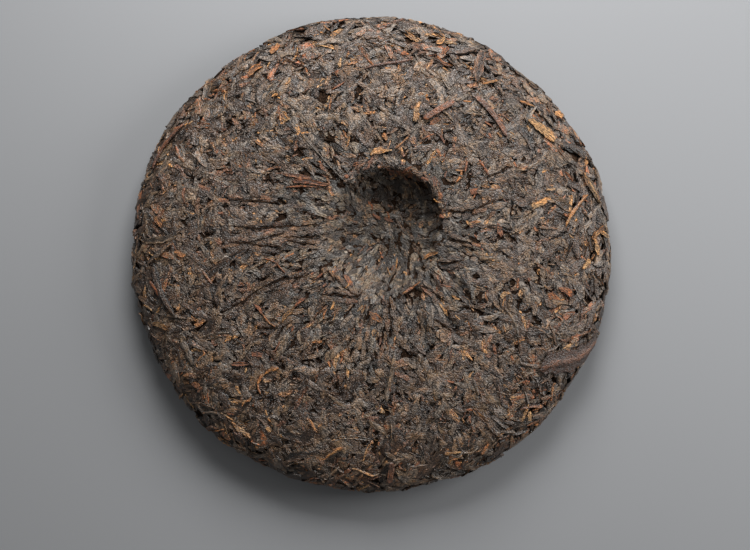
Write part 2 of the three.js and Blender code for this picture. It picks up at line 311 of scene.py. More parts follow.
# Each group of noted pieces: the name of its mesh and its finish.
NOTED_GROUPS = {
    "dark_leaf": ("noted_dark_leaves", "ripe_leaf_rolled"),
    "brown_leaf": ("noted_brown_leaves", "ripe_leaf_pressed"),
    "stalk": ("noted_stalks", "leaf_stalk"),
    "bud": ("noted_buds", "golden_bud"),
    "thread": ("noted_threads", "ripe_leaf_rubbed"),
}

# On the loose rim, which begins and ends this far from the axis, the noted pieces lie this much higher, in
# millimetres. Past the flat reach they are laid along the section.
NOTED_LOFT = 1.0
LOFT_BEGINS_ENDS = (72, 86)
NOTED_FLAT_REACH = 85
NOTED_SINK = 0.25
SMALL_SINK = 0.15
FLAKE_THICKNESS = 0.4

# Directions from the dimple's middle, in degrees: its steep wall, its soft slope, and where folds reach
# least far.
STEEP_WAY = 55
SOFT_WAY = 248
SHORT_FOLDS_WAY = 12

# The cake's zones, in millimetres from its axis: where the loose edge, the rim's leaves and the underside's
# begin and are full, where the face's end, and where the rim's begin and are full under the girth.
LOOSE_EDGE = (78, 92)
RIM_ZONE = (74, 90)
FACE_ENDS = (84, 95)
UNDER_ENDS = (80, 90)
RIM_BELOW = (72, 84)

# Where the folds round the dimple begin and end to loosen, in millimetres from its middle: at the steep
# wall, opposite it, and on the left.
FOLDS_LOOSEN = {"steep": (20, 54), "opposite": (28, 64), "left": (32, 84)}

# How far leaves turn either way from the flow, in degrees: in the neatest folds, what the least neat ones
# add to that, and on the rim.
FOLD_TURN = 20
UNTIDY_TURN = 40
RIM_TURN = 55

# How high leaves stand over the core, as a share of their own height.
LOOSENESS = {"dimple": 0.5, "face": 1.0, "under": 0.85, "rim": 1.45}

# Round the flat spot, no leaf hangs lower than this.
REST_CLEARANCE = 0.3

# Patches of pale leaves, rubbed and partly a painted sheen where the slopes face the light: their middle in
# the photograph's pixels, how far they spread across and up in millimetres, and how thickly they lie.
RUBBED_AND_SHEEN = (
    (368, 283, 9, 4.5, 1),
    (322, 238, 11, 8, 0.35),
    (345, 262, 7, 6, 0.3),
    (452, 204, 6, 9, 0.35),
    (310, 190, 10, 8, 0.25),
    (452, 276, 9, 8, 0.25),
)

# Steps of a quarter of the section, and guesses that find the skin under a point.
SECTION_STEPS = 900
HOMING_STEPS = 14

# Edges of a leaf that bend by more than this are crisp, in radians.
CRISP_ANGLE = 0.7

# A leaf's shape is picked by a number up to this, which wraps round the shapes that there are.
HIGHEST_PICK = 999

# How often the press height steps through its range while a leaf's tint goes from 0 to 1.
PRESS_STEP_REPEATS = 7.31


def linear(hex_colour):
    """An sRGB hex colour as linear red, green, blue and alpha."""
    parts = [int(hex_colour[i : i + 2], 16) / 255 for i in (1, 3, 5)]
    return (*[p / 12.92 if p <= 0.04045 else ((p + 0.055) / 1.055) ** 2.4 for p in parts], 1.0)


def smooth(low, high, x):
    """A smooth step from 0 at low to 1 at high."""
    share = np.clip((x - low) / (high - low), 0, 1)
    return share * share * (3 - 2 * share)


def lerp(low, high, share):
    return low + (high - low) * share


def from_photo(across, down):
    """The place on the upper face, in millimetres, that shows at a pixel of the photograph."""
    x = (across - OUTLINE_CENTRE[0]) / FACE_PIXELS
    y = ((OUTLINE_CENTRE[1] - down) / FACE_PIXELS - FACE_SHIFT) / FACE_FORESHORTENING
    return x, y


class Nodes:
    """A node tree, with short ways to add the nodes that are used most."""

    def __init__(self, tree):
        self.tree = tree

    def add(self, kind, inputs=None, **settings):
        """Adds a node of a kind with its settings, and links or sets its inputs."""
        node = self.tree.nodes.new(kind)
        for name, value in settings.items():
            setattr(node, name, value)
        for key, value in (inputs or {}).items():
            if isinstance(value, bpy.types.NodeSocket):
                self.tree.links.new(value, node.inputs[key])
            else:
                node.inputs[key].default_value = value
        return node

    def first(self, kind, inputs=None, **settings):
        """Adds a node and returns its first output."""
        return self.add(kind, inputs, **settings).outputs[0]

    def maths(self, operation, *values):
        return self.first("ShaderNodeMath", dict(enumerate(values)), operation=operation)

    def vector_maths(self, operation, *values):
        return self.first("ShaderNodeVectorMath", dict(enumerate(values)), operation=operation)

    def scaled(self, vector, factor):
        return self.first("ShaderNodeVectorMath", {0: vector, 3: factor}, operation="SCALE")

    def combined(self, *values):
        return self.first("ShaderNodeCombineXYZ", dict(enumerate(values)))

    def separated(self, vector):
        return self.add("ShaderNodeSeparateXYZ", {0: vector}).outputs

    def texture(self, place, scale, detail, roughness=0.5):
        """A noise that wanders round 0.5."""
        inputs = {"Vector": place, "Scale": scale, "Detail": detail, "Roughness": roughness}
        return self.add("ShaderNodeTexNoise", inputs).outputs["Fac"]

    def ranged(self, value, from_range, to_range):
        """A value carried from one range to another."""
        inputs = {"Value": value, "From Min": from_range[0], "From Max": from_range[1]}
        return self.first("ShaderNodeMapRange", inputs | {"To Min": to_range[0], "To Max": to_range[1]})

    def ramp(self, value, stops):
        """A colour ramp through stops, each a position and an sRGB hex colour."""
        node = self.add("ShaderNodeValToRGB", {"Fac": value})
        elements = node.color_ramp.elements
        while len(elements) < len(stops):
            elements.new(0.5)
        for element, (position, colour) in zip(elements, stops):
            element.position = position
            element.color = linear(colour)
        return node.outputs["Color"]


class Draws:
    """The repeatable draws that place the large leaves."""

    MULTIPLIER = 16807
    MODULUS = 2147483647

    def __init__(self, seed):
        self.state = seed

    def between(self, low, high):
        self.state = self.state * self.MULTIPLIER % self.MODULUS
        return low + (high - low) * self.state / self.MODULUS


class Skin:
    """The cake's skin in millimetres: theta runs round it, share from the crown to the flat spot."""

    def __init__(self, sizes):
        self.radius = sizes.radius / MM
        self.crown = sizes.crown_height / MM
        self.girth = sizes.girth_height / MM
        self.rest = sizes.rest_radius / MM
        self.dimple = np.array([sizes.dimple_x / MM, sizes.dimple_y / MM])
        self.depth = sizes.dimple_depth / MM
        self.steep_reach = sizes.steep_reach / MM
        self.side_reach = sizes.side_reach / MM
        self.soft_reach = sizes.soft_reach / MM
        self.lip = sizes.dimple_lip / MM
        self.measure_section()

    def measure_section(self):
        """Half of the cake's section, from the crown over the girth to the flat spot, by its length."""
        a = np.linspace(0, math.pi / 2, SECTION_STEPS)
        out = self.radius * np.sin(a) ** (2 / 3)
        up = self.girth + (self.crown - self.girth) * np.clip(np.cos(a), 0, 1) ** (2 / 2.2)
        across = np.clip(np.cos(a[1:]), 0, 1) ** (2 / 2.4)
        out = np.append(out, self.rest + (self.radius - self.rest) * across)
        up = np.append(up, self.girth * (1 - np.sin(a[1:])))
        along = np.append(0, np.cumsum(np.hypot(np.diff(out), np.diff(up))))
        self.length = along[-1]
        self.table = along / self.length, out, up
        self.girth_share = along[len(a) - 1] / self.length

    def section(self, share):
        shares, out, up = self.table
        share = np.clip(share, 0, 1)
        return np.interp(share, shares, out), np.interp(share, shares, up)

    def outline(self, theta):
        """The outline is a little lumpy, as hand-pressed cakes are."""
        lumps = 0.4 * np.cos(2 * theta + 0.9) + 0.3 * np.cos(5 * theta - 1.1) + 0.3 * np.cos(9 * theta + 2.3)
        return lumps + 0.25 * np.cos(17 * theta + 0.4)

    def swells(self, x, y):
        """Gentle swells over the whole upper face."""
        broad = 0.4 * np.sin(x / 13 + 1.3) * np.sin(y / 11 - 0.6)
        return broad + 0.28 * np.sin(x / 5.1 - y / 6.3 + 2.1) * np.cos(y / 4.7 + x / 9.1)

    def steepness(self, theta):
        """1 towards the dimple's steep wall, 0 towards its soft side."""
        return (0.5 + 0.5 * np.cos(theta - math.radians(STEEP_WAY))) ** 1.2

    def softness(self, theta):
        """1 towards the dimple's long soft side, 0 beside it."""
        return np.clip(np.cos(theta - math.radians(SOFT_WAY)), 0, 1) ** 2

    def dimple_depth(self, theta, distance):
        steep, soft = self.steepness(theta), self.softness(theta)
        reach = lerp(lerp(self.side_reach, self.soft_reach, soft), self.steep_reach, steep)
        share = distance / reach
        lip = self.lip * steep * np.exp(-(((share - 1.1) / 0.12) ** 2))
        bowl = lerp(lerp(1.8, 3.0, soft), 3.6, steep)
        inside = self.depth * np.clip(1 - np.clip(share, 0, 1) ** bowl, 0, 1) ** 1.15
        return np.where(share >= 1, 0, inside) - lip

    def pleat_depth(self, theta, distance):
        depth = np.zeros_like(theta)
        for angle, reach, deep in PLEATS:
            turn = theta - math.radians(angle)
            aside = np.arctan2(np.sin(turn), np.cos(turn)) * distance / PLEAT_WIDTH
            fade = smooth(PLEAT_START, PLEAT_START + 10, distance)
            fade = fade * (1 - smooth(reach - PLEAT_FADE, reach, distance))
            depth += deep * fade * np.exp(-aside * aside)
        return depth

    def at(self, theta, share):
        """The points of the skin, as rows of x, y, z."""
        theta, share = np.broadcast_arrays(np.asarray(theta, float), np.asarray(share, float))
        out, up = self.section(share)
        upper = up > self.girth
        inward = out / self.radius
        lean = np.where(upper, (1 - inward * inward) ** 2, 0)
        swing = smooth(0.6, 1, inward) * self.outline(theta)
        x = (out + swing) * np.cos(theta) + lean * self.dimple[0]
        y = (out + swing) * np.sin(theta) + lean * self.dimple[1]
        settle = np.where(upper, smooth(self.girth, self.girth + 6, up), 0)
        z = up + settle * (self.swells(x, y) - self.dimple_depth(theta, out) - self.pleat_depth(theta, out))
        return np.stack([x, y, z], -1)

    def frame_at(self, theta, share):
        """Outward, round-the-cake and down-the-section directions of the skin."""
        round_step, down_step = 0.01, 0.004
        round_way = self.at(theta + round_step, share) - self.at(theta - round_step, share)
        low, high = np.clip(share - down_step, 0, 1), np.clip(share + down_step, 0, 1)
        down_way = self.at(theta, high) - self.at(theta, low)
        outward = np.cross(down_way, round_way)
        return tuple(v / np.linalg.norm(v, axis=-1, keepdims=True) for v in (outward, round_way, down_way))

    def beneath(self, x, y):
        """The theta and share of the upper face's skin under points, by guesses that home in."""
        shares, outs, _ = self.table
        upper = shares <= self.girth_share
        out = np.hypot(x, y)
        for _ in range(HOMING_STEPS):
            inward = np.clip(out / self.radius, 0, 1)
            lean = (1 - inward * inward) ** 2
            across, along = x - lean * self.dimple[0], y - lean * self.dimple[1]
            theta = np.arctan2(along, across)
            out = np.hypot(across, along) - smooth(0.6, 1, inward) * self.outline(theta)
        return theta, np.interp(out, outs[upper], shares[upper])


class LeafHeap:
    """Leaves laid one at a time on the skin, and gathered into one mesh."""

    def __init__(self, skin, loft=0):
        self.skin = skin
        self.loft = loft
        self.points, self.faces, self.rise, self.grain, self.tint = [], [], [], [], []
        self.count = 0

    def gather(self, shape, spots, length, width, tint):
        outline, faces = shape
        spots[:, 2] = np.maximum(spots[:, 2], REST_CLEARANCE)
        self.points.append(spots)
        self.faces += [tuple(i + self.count for i in face) for face in faces]
        self.rise.append(outline[:, 2])
        self.grain.append(outline * (length, width, 0) * MM + (0, 0, tint))
        self.tint.append(np.full(len(outline), tint))
        self.count += len(outline)

    def lift(self, theta, share, rise, thickness, sink):
        """Points over the skin by their rise, with the leaf sunk into it by a share of its thickness."""
        loft = self.loft * smooth(*LOFT_BEGINS_ENDS, self.skin.section(share)[0])
        over = thickness * (rise / 2 + 0.5 - sink) + loft
        return self.skin.at(theta, share) + self.skin.frame_at(theta, share)[0] * over[:, None]

    def lay(self, shape, place, heading, size, sink, tint, bend=0):
        """Lays a leaf round a theta and share, with its heading in radians from the way down the section."""
        outline, _ = shape
        theta, share = place
        length, width, thickness = size
        along = outline[:, 0] * length
        aside = outline[:, 1] * width + bend * (1 - 4 * outline[:, 0] ** 2)
        radius = max(12, self.skin.section(share)[0])
        turn = theta + (along * math.sin(heading) + aside * math.cos(heading)) / radius
        run = share + (along * math.cos(heading) - aside * math.sin(heading)) / self.skin.length
        self.gather(shape, self.lift(turn, run, outline[:, 2], thickness, sink), length, width, tint)

    def lay_flat(self, shape, x, y, heading, size, sink, tint, bend=0):
        """Lays a leaf on the upper face round x and y, with its heading in radians from the cake's X axis."""
        outline, _ = shape
        length, width, thickness = size
        along = outline[:, 0] * length
        aside = outline[:, 1] * width + bend * (1 - 4 * outline[:, 0] ** 2)
        across = x + along * math.cos(heading) - aside * math.sin(heading)
        up = y + along * math.sin(heading) + aside * math.cos(heading)
        theta, share = self.skin.beneath(across, up)
        self.gather(shape, self.lift(theta, share, outline[:, 2], thickness, sink), length, width, tint)

    def piece(self, name, finish):
        piece = mesh_piece(name, np.vstack(self.points), self.faces)
        store(piece.data, "rise", np.concatenate(self.rise))
        store(piece.data, "grain", np.vstack(self.grain), "FLOAT_VECTOR")
        store(piece.data, "tint", np.concatenate(self.tint))
        piece.data.shade_smooth()
        piece.data.set_sharp_from_angle(angle=CRISP_ANGLE)
        hand_over(piece, finish)


def mesh_piece(name, points_mm, faces):
    """A new object from points in millimetres."""
    mesh = bpy.data.meshes.new(name)
    mesh.from_pydata((np.asarray(points_mm) * MM).tolist(), [], faces)
    piece = bpy.data.objects.new(name, mesh)
    bpy.context.scene.collection.objects.link(piece)
    return piece


def store(mesh, name, values, kind="FLOAT"):
    """Stores one value, or one vector, a point."""
    layer = mesh.attributes.new(name, kind, "POINT")
    part = "vector" if kind == "FLOAT_VECTOR" else "value"
    layer.data.foreach_set(part, np.ravel(values).astype(np.float32))


def hand_over(piece, finish=None):
    """Gives a finished piece its finish, makes it ride with the cake, and hides the imported cake that it
    stands for.
    """
    if finish is not None:
        piece.data.materials.clear()
        piece.data.materials.append(finish)
    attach(piece, BODY)
    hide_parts(NODE)


def strip_leaf(rng, stations, around, form):
    """One leaf strip as points and faces: x along it and y across it from -0.5 to 0.5, and z its rise.

    Rise is 1 on its top and negative under it. The form is ridged as a rolled leaf, channel as a curled
    one, flat, folded lengthwise, square as a broken stalk, or pressed, which is flat with edges that dive
    between its neighbours.
    """
    x = np.linspace(-0.44, 0.44, stations) + rng.uniform(-0.25, 0.25, stations) * 0.88 / stations
    fullness = 12 if form == "square" else rng.uniform(1.6, 5)
    taper = rng.uniform(-0.35, 0.35) * (0.2 if form == "square" else 1)
    half = 0.5 * (1 - np.abs(2 * x) ** fullness * 0.75) * (1 + taper * 2 * x)
    half = half * (1 if form == "square" else rng.uniform(0.78, 1.12, stations))
    bend, sway = rng.uniform(-0.5, 0.5, 2)
    centre = bend * (x * x - 0.1) * 2 + sway * 0.35 * np.sin(x * 7 + rng.uniform(0, TURN))
    top = np.linspace(-1, 1, around - 1)
    if form == "pressed":
        top = np.sign(top) * np.abs(top) ** 0.35
    crest = rng.uniform(-0.35, 0.35)
    rough = 0.07 if form == "pressed" else 0.16
    arch = {
        "ridged": 1 - 0.6 * np.abs(top - crest) ** 1.8,
        "flat": 0.95 - 0.2 * np.abs(top) ** 3,
        "channel": 0.5 + 0.5 * np.abs(top - crest) ** 1.2,
        "pressed": np.where(np.abs(top) > 0.99, 0.1, 1),
        "square": 1 - 0.15 * np.abs(top) ** 4,
        "folded": 0.62 + 0.38 * np.cos(top * 5.5 + crest * 9) - 0.5 * np.abs(top) ** 6,
    }[form]
    points = []
    for i in range(stations):
        for j in range(around - 1):
            jitter = 1 if form == "square" else rng.uniform(0.82, 1.18)
            points.append((x[i], centre[i] + top[j] * half[i] * jitter, arch[j] + rng.uniform(-rough, rough)))
        points.append((x[i], centre[i], -0.9))
    points.append((-0.5, centre[0] + rng.uniform(-0.1, 0.1), 0.2))
    points.append((0.5, centre[-1] + rng.uniform(-0.1, 0.1), 0.2))
    faces = []
    for i in range(stations - 1):
        for j in range(around):
            here, beside = i * around + j, i * around + (j + 1) % around
            faces.append((here, here + around, beside + around, beside))
    last = (stations - 1) * around
    for j in range(around):
        beside = (j + 1) % around
        faces.append((len(points) - 2, j, beside))
        faces.append((len(points) - 1, last + beside, last + j))
    return np.array(points), faces


def flake(rng, corners):
    """A flat scrap of leaf as points and faces, laid out as strip_leaf's are."""
    angles = (np.arange(corners) + rng.uniform(-0.3, 0.3, corners)) * TURN / corners
    reach = 0.5 * rng.uniform(0.6, 1, corners)
    rim = np.stack([reach * np.cos(angles), reach * np.sin(angles), rng.uniform(0.6, 1, corners)], -1)
    heart = rng.uniform(-0.1, 0.1, 2)
    points = np.vstack([rim, [(heart[0], heart[1], rng.uniform(0.5, 1.1)), (heart[0], heart[1], -0.9)]])
    faces = []
    for j in range(corners):
        beside = (j + 1) % corners
        faces.append((corners, j, beside))
        faces.append((corners + 1, beside, j))
    return points, faces


def shape_collection(name, shapes):
    """The leaf shapes that a scatter picks from, flat, with their rise and own coordinates as attributes."""
    collection = bpy.data.collections.new(name)
    for i, (points, faces) in enumerate(shapes):
        mesh = bpy.data.meshes.new(f"{name}_{i:02d}")
        flat = points * (1, 1, 0)
        mesh.from_pydata(flat.tolist(), [], faces)
        store(mesh, "rise", points[:, 2])
        store(mesh, "grain", flat, "FLOAT_VECTOR")
        collection.objects.link(bpy.data.objects.new(mesh.name, mesh))
    return collection


SCATTER_INPUTS = {
    "Geometry": "Geometry",
    "Leaf shapes": "Collection",
    "Zone": "String",
    "Seed": "Int",
    "Finish": "Material",
}
SCATTER_NUMBERS = (
    "Leaves per square metre", "Shortest", "Longest", "Narrowest", "Widest", "Thinnest", "Thickest",
    "Lowest lift", "Highest lift", "Tip rise", "Edge rise", "Spread", "Press height", "Press step",
)


def scatter_tree():
    """The node tree that lays leaves on the cake's core.

    Points fall on the core by a zone attribute. Each gets a leaf shape that lies along the core's flow
    attribute, turned by a random share of its spread. Each leaf's points are then laid on the core at their
    own height, so that the leaf bends with the surface under it.
    """
    tree = bpy.data.node_groups.new("lay_leaves", "GeometryNodeTree")
    for name, kind in (SCATTER_INPUTS | dict.fromkeys(SCATTER_NUMBERS, "Float")).items():
        tree.interface.new_socket(name, in_out="INPUT", socket_type="NodeSocket" + kind)
    tree.interface.new_socket("Geometry", in_out="OUTPUT", socket_type="NodeSocketGeometry")
    nodes = Nodes(tree)
    add, first, maths, vector_maths = nodes.add, nodes.first, nodes.maths, nodes.vector_maths
    given = add("NodeGroupInput").outputs
    core = given["Geometry"]
    place = first("GeometryNodeInputPosition")

    def named(name, kind="FLOAT"):
        return first("GeometryNodeInputNamedAttribute", {"Name": name}, data_type=kind)

    def named_vector(name):
        return named(name, "FLOAT_VECTOR")

    def keep(geometry, name, value, kind, domain):
        inputs = {"Geometry": geometry, "Name": name, "Value": value}
        return first("GeometryNodeStoreNamedAttribute", inputs, data_type=kind, domain=domain)

    def random_float(low, high, offset):
        inputs = {2: low, 3: high, 8: maths("ADD", given["Seed"], offset)}
        return add("FunctionNodeRandomValue", inputs, data_type="FLOAT").outputs[1]

    def under(value, kind="FLOAT_VECTOR"):
        """A value of the core where it lies nearest to a leaf's point."""
        inputs = {"Mesh": core, "Value": value, "Sample Position": place}
        return first("GeometryNodeSampleNearestSurface", inputs, data_type=kind)

    density = maths("MULTIPLY", named(given["Zone"]), given["Leaves per square metre"])
    falling = {"Mesh": core, "Density": density, "Seed": given["Seed"]}
    scattered = add("GeometryNodeDistributePointsOnFaces", falling)
    axes = {"Primary Axis": named_vector("out"), "Secondary Axis": named_vector("flow")}
    upright = first("FunctionNodeAxesToRotation", axes, primary_axis="Z", secondary_axis="X")
    swing = maths("MULTIPLY", random_float(-1.0, 1.0, 1), maths("MULTIPLY", named("spread"), given["Spread"]))
    turn = first("FunctionNodeAxisAngleToRotation", {"Axis": (0, 0, 1), "Angle": swing})
    turned = {"Rotation": upright, "Rotate By": turn}
    size = nodes.combined(
        random_float(given["Shortest"], given["Longest"], 2),
        random_float(given["Narrowest"], given["Widest"], 3),
        random_float(given["Thinnest"], given["Thickest"], 4),
    )
    offered = {"Collection": given["Leaf shapes"], "Separate Children": True, "Reset Children": True}
    picks = {4: 0, 5: HIGHEST_PICK, 8: given["Seed"]}
    laying = {
        "Points": scattered.outputs["Points"],
        "Instance": first("GeometryNodeCollectionInfo", offered),
        "Pick Instance": True,
        "Instance Index": add("FunctionNodeRandomValue", picks, data_type="INT").outputs[2],
        "Rotation": first("FunctionNodeRotateRotation", turned, rotation_space="LOCAL"),
        "Scale": size,
    }
    leaves = first("GeometryNodeInstanceOnPoints", laying)
    tilt = nodes.combined(
        maths("MULTIPLY", random_float(-1.0, 1.0, 5), given["Tip rise"]),
        maths("MULTIPLY", random_float(-1.0, 1.0, 6), given["Edge rise"]),
        random_float(given["Lowest lift"], given["Highest lift"], 7),
    )
    leaves = keep(leaves, "size", size, "FLOAT_VECTOR", "INSTANCE")
    leaves = keep(leaves, "tilt", tilt, "FLOAT_VECTOR", "INSTANCE")
    leaves = keep(leaves, "tint", random_float(0.0, 1.0, 8), "FLOAT", "INSTANCE")
    real = first("GeometryNodeRealizeInstances", {"Geometry": leaves})

    # Each point's height: its leaf's lift and lean and its own rise, but no more than the press allows.
    local = nodes.separated(named_vector("grain"))
    tilts = nodes.separated(named_vector("tilt"))
    thickness = nodes.separated(named_vector("size"))[2]
    lean = maths("ADD", maths("MULTIPLY", local[0], tilts[0]), maths("MULTIPLY", local[1], tilts[1]))
    body = maths("MULTIPLY", named("rise"), thickness)
    free = maths("ADD", maths("ADD", lean, tilts[2]), body)
    step = maths("FRACT", maths("MULTIPLY", named("tint"), PRESS_STEP_REPEATS))
    ceiling = maths("MULTIPLY_ADD", step, given["Press step"], given["Press height"])
    height = maths("MULTIPLY", maths("MINIMUM", free, ceiling), under(named("looseness"), "FLOAT"))
    outward = vector_maths("NORMALIZE", under(named_vector("out")))
    raised = vector_maths("ADD", under(first("GeometryNodeInputPosition")), nodes.scaled(outward, height))
    x, y, z = nodes.separated(raised)
    lowest = maths("MULTIPLY", named("tint"), REST_CLEARANCE * MM)
    settled = nodes.combined(x, y, maths("MAXIMUM", z, lowest))
    laid = first("GeometryNodeSetPosition", {"Geometry": real, "Position": settled})

    # The leaf's own coordinates, in metres and different on each leaf, for its finish.
    shifted = first("ShaderNodeCombineXYZ", {2: named("tint")})
    in_metres = vector_maths("MULTIPLY_ADD", named_vector("grain"), named_vector("size"), shifted)
    laid = keep(laid, "grain", in_metres, "FLOAT_VECTOR", "POINT")
    for name in ("size", "tilt"):
        laid = first("GeometryNodeRemoveAttribute", {"Geometry": laid, "Name": name})
    bent = add("GeometryNodeInputMeshEdgeAngle").outputs["Unsigned Angle"]
    bends = {0: bent, 1: CRISP_ANGLE}
    crisp = first("FunctionNodeCompare", bends, data_type="FLOAT", operation="GREATER_THAN")
    shaded = first("GeometryNodeSetShadeSmooth", {"Geometry": laid, "Shade Smooth": True})
    edges = {"Geometry": shaded, "Selection": crisp, "Shade Smooth": False}
    shaded = first("GeometryNodeSetShadeSmooth", edges, domain="EDGE")
    whole = first("GeometryNodeRealizeInstances", {"Geometry": shaded})
    finished = first("GeometryNodeSetMaterial", {"Geometry": whole, "Material": given["Finish"]})
    add("NodeGroupOutput", {0: finished})
    return tree


def lay_leaves(name, core, values):
    """Runs the scatter tree over the core with these inputs, and returns the leaves as a plain mesh."""
    tree = bpy.data.node_groups.get("lay_leaves") or scatter_tree()
    carrier = bpy.data.objects.new(name + "_scatter", core.data)
    bpy.context.scene.collection.objects.link(carrier)
    modifier = carrier.modifiers.new("lay_leaves", "NODES")
    modifier.node_group = tree
    for socket in tree.interface.items_tree:
        if socket.in_out == "INPUT" and socket.name in values:
            modifier[socket.identifier] = values[socket.name]
    graph = bpy.context.evaluated_depsgraph_get()
    mesh = bpy.data.meshes.new_from_object(carrier.evaluated_get(graph))
    bpy.data.objects.remove(carrier)
    if not mesh.polygons:
        raise RuntimeError(f"{name} came out empty")
    mesh.name = name
    piece = bpy.data.objects.new(name, mesh)
    bpy.context.scene.collection.objects.link(piece)
    return piece


# What ribs and wrinkles are like on every leaf: how long the ribs are, in millimetres, how far the noise
# behind them moves from leaf to leaf, how it is stretched for the wrinkles, and how far from its middle
# value a wrinkle ends.
RIB_LENGTH = 2.4
LEAF_SHIFT = 40
WRINKLE_STRETCH = (0.9, 0.55, 1.3)
WRINKLE_HALF_WIDTH = 0.07

# Sizes of the mottles, the crumples, the wander between cooler and warmer leaf, and the crumbs, in
# millimetres.
MOTTLE_SIZE = 1.3
CRUMPLE_SIZE = 0.6
DRIFT_SIZE = 4.5
CRUMB_SIZE = 0.6

# Each leaf's finish: its palette by place on the ramp, and what differs from a plain leaf.
FINISHES = {
    # Ripe leaf rolled thin: near black with a brown cast, a dull grey shine where it was pressed.
    "ripe_leaf_rolled": {"palette": ((0.0, "deep"), (0.35, "dark"), (0.7, "grey"), (1.0, "brown"))},
    # Broad ripe leaf pressed flat on the face: smooth and dark, with a dull shine and a few creases.
    "ripe_leaf_broad": {
        "palette": ((0.0, "deep"), (0.4, "dark"), (0.85, "grey"), (1.0, "brown")),
        "fibre": 0.7, "depth": 0.35, "crumpled": 0.5,
    },
    # Ripe leaf in the folds round the dimple: rubbed by the bag to one dark grey brown, kept dark partly as
    # painted shade of the dimple's bowl.
    "ripe_leaf_folded": {
        "palette": ((0.0, "deep"), (0.5, "slate"), (0.9, "dusty"), (1.0, "brown")),
        "fibre": 0.32, "shade": 0.3,
    },
    # Leaf on the dimple's soft slope, rubbed by the bag to a pale dusty grey, and made paler as a painted
    # sheen.
    "ripe_leaf_rubbed": {
        "palette": ((0.0, "dark"), (0.45, "grey"), (1.0, "dusty")),
        "fibre": 0.3, "shade": 0.35,
    },
    # Loose ripe leaf of the edge: dark rolls among tan and brown ones.
    "ripe_leaf_loose": {
        "palette": ((0.0, "deep"), (0.35, "dark"), (0.7, "grey"), (0.9, "brown"), (1.0, "rust")),
        "fibre": 0.6, "depth": 0.35, "crumpled": 0.5,
    },
    # Ripe leaf pressed flat: mid brown to reddish brown, dry and dull.
    "ripe_leaf_pressed": {"palette": ((0.0, "dark"), (0.35, "brown"), (0.7, "red_brown"), (1.0, "tan"))},
    # Buds of the loose edge: rust to old gold, with dark creases.
    "golden_bud_loose": {
        "palette": ((0.0, "dark"), (0.35, "rust"), (0.75, "gold"), (1.0, "tan")),
        "roughness": 0.6,
    },
    # Golden buds: downy tips that keep a tan to rust colour after the leaf has ripened.
    "golden_bud": {
        "palette": ((0.0, "red_brown"), (0.5, "rust"), (0.85, "gold"), (1.0, "tan")),
        "roughness": 0.65, "shade": 0.25,
    },
    # Leaf stalks: woody, reddish brown, ribbed along their length.
    "leaf_stalk": {
        "palette": ((0.0, "dark"), (0.4, "red_brown"), (0.8, "rust"), (1.0, "gold")),
        "fibre": 0.35, "depth": 0.3, "shade": 0.3, "crumpled": 0.4,
    },
}


def new_material(name):
    """A new material's nodes and its main shader."""
    material = bpy.data.materials.new(name)
    material.use_nodes = True
    return material, Nodes(material.node_tree), material.node_tree.nodes["Principled BSDF"]


def colour_stops(stops):
    """Stops of a ramp with the cake's colours in place of their names."""
    colours = bpy.context.scene.tea_cake_colours
    return [(position, getattr(colours, colour)) for position, colour in stops]


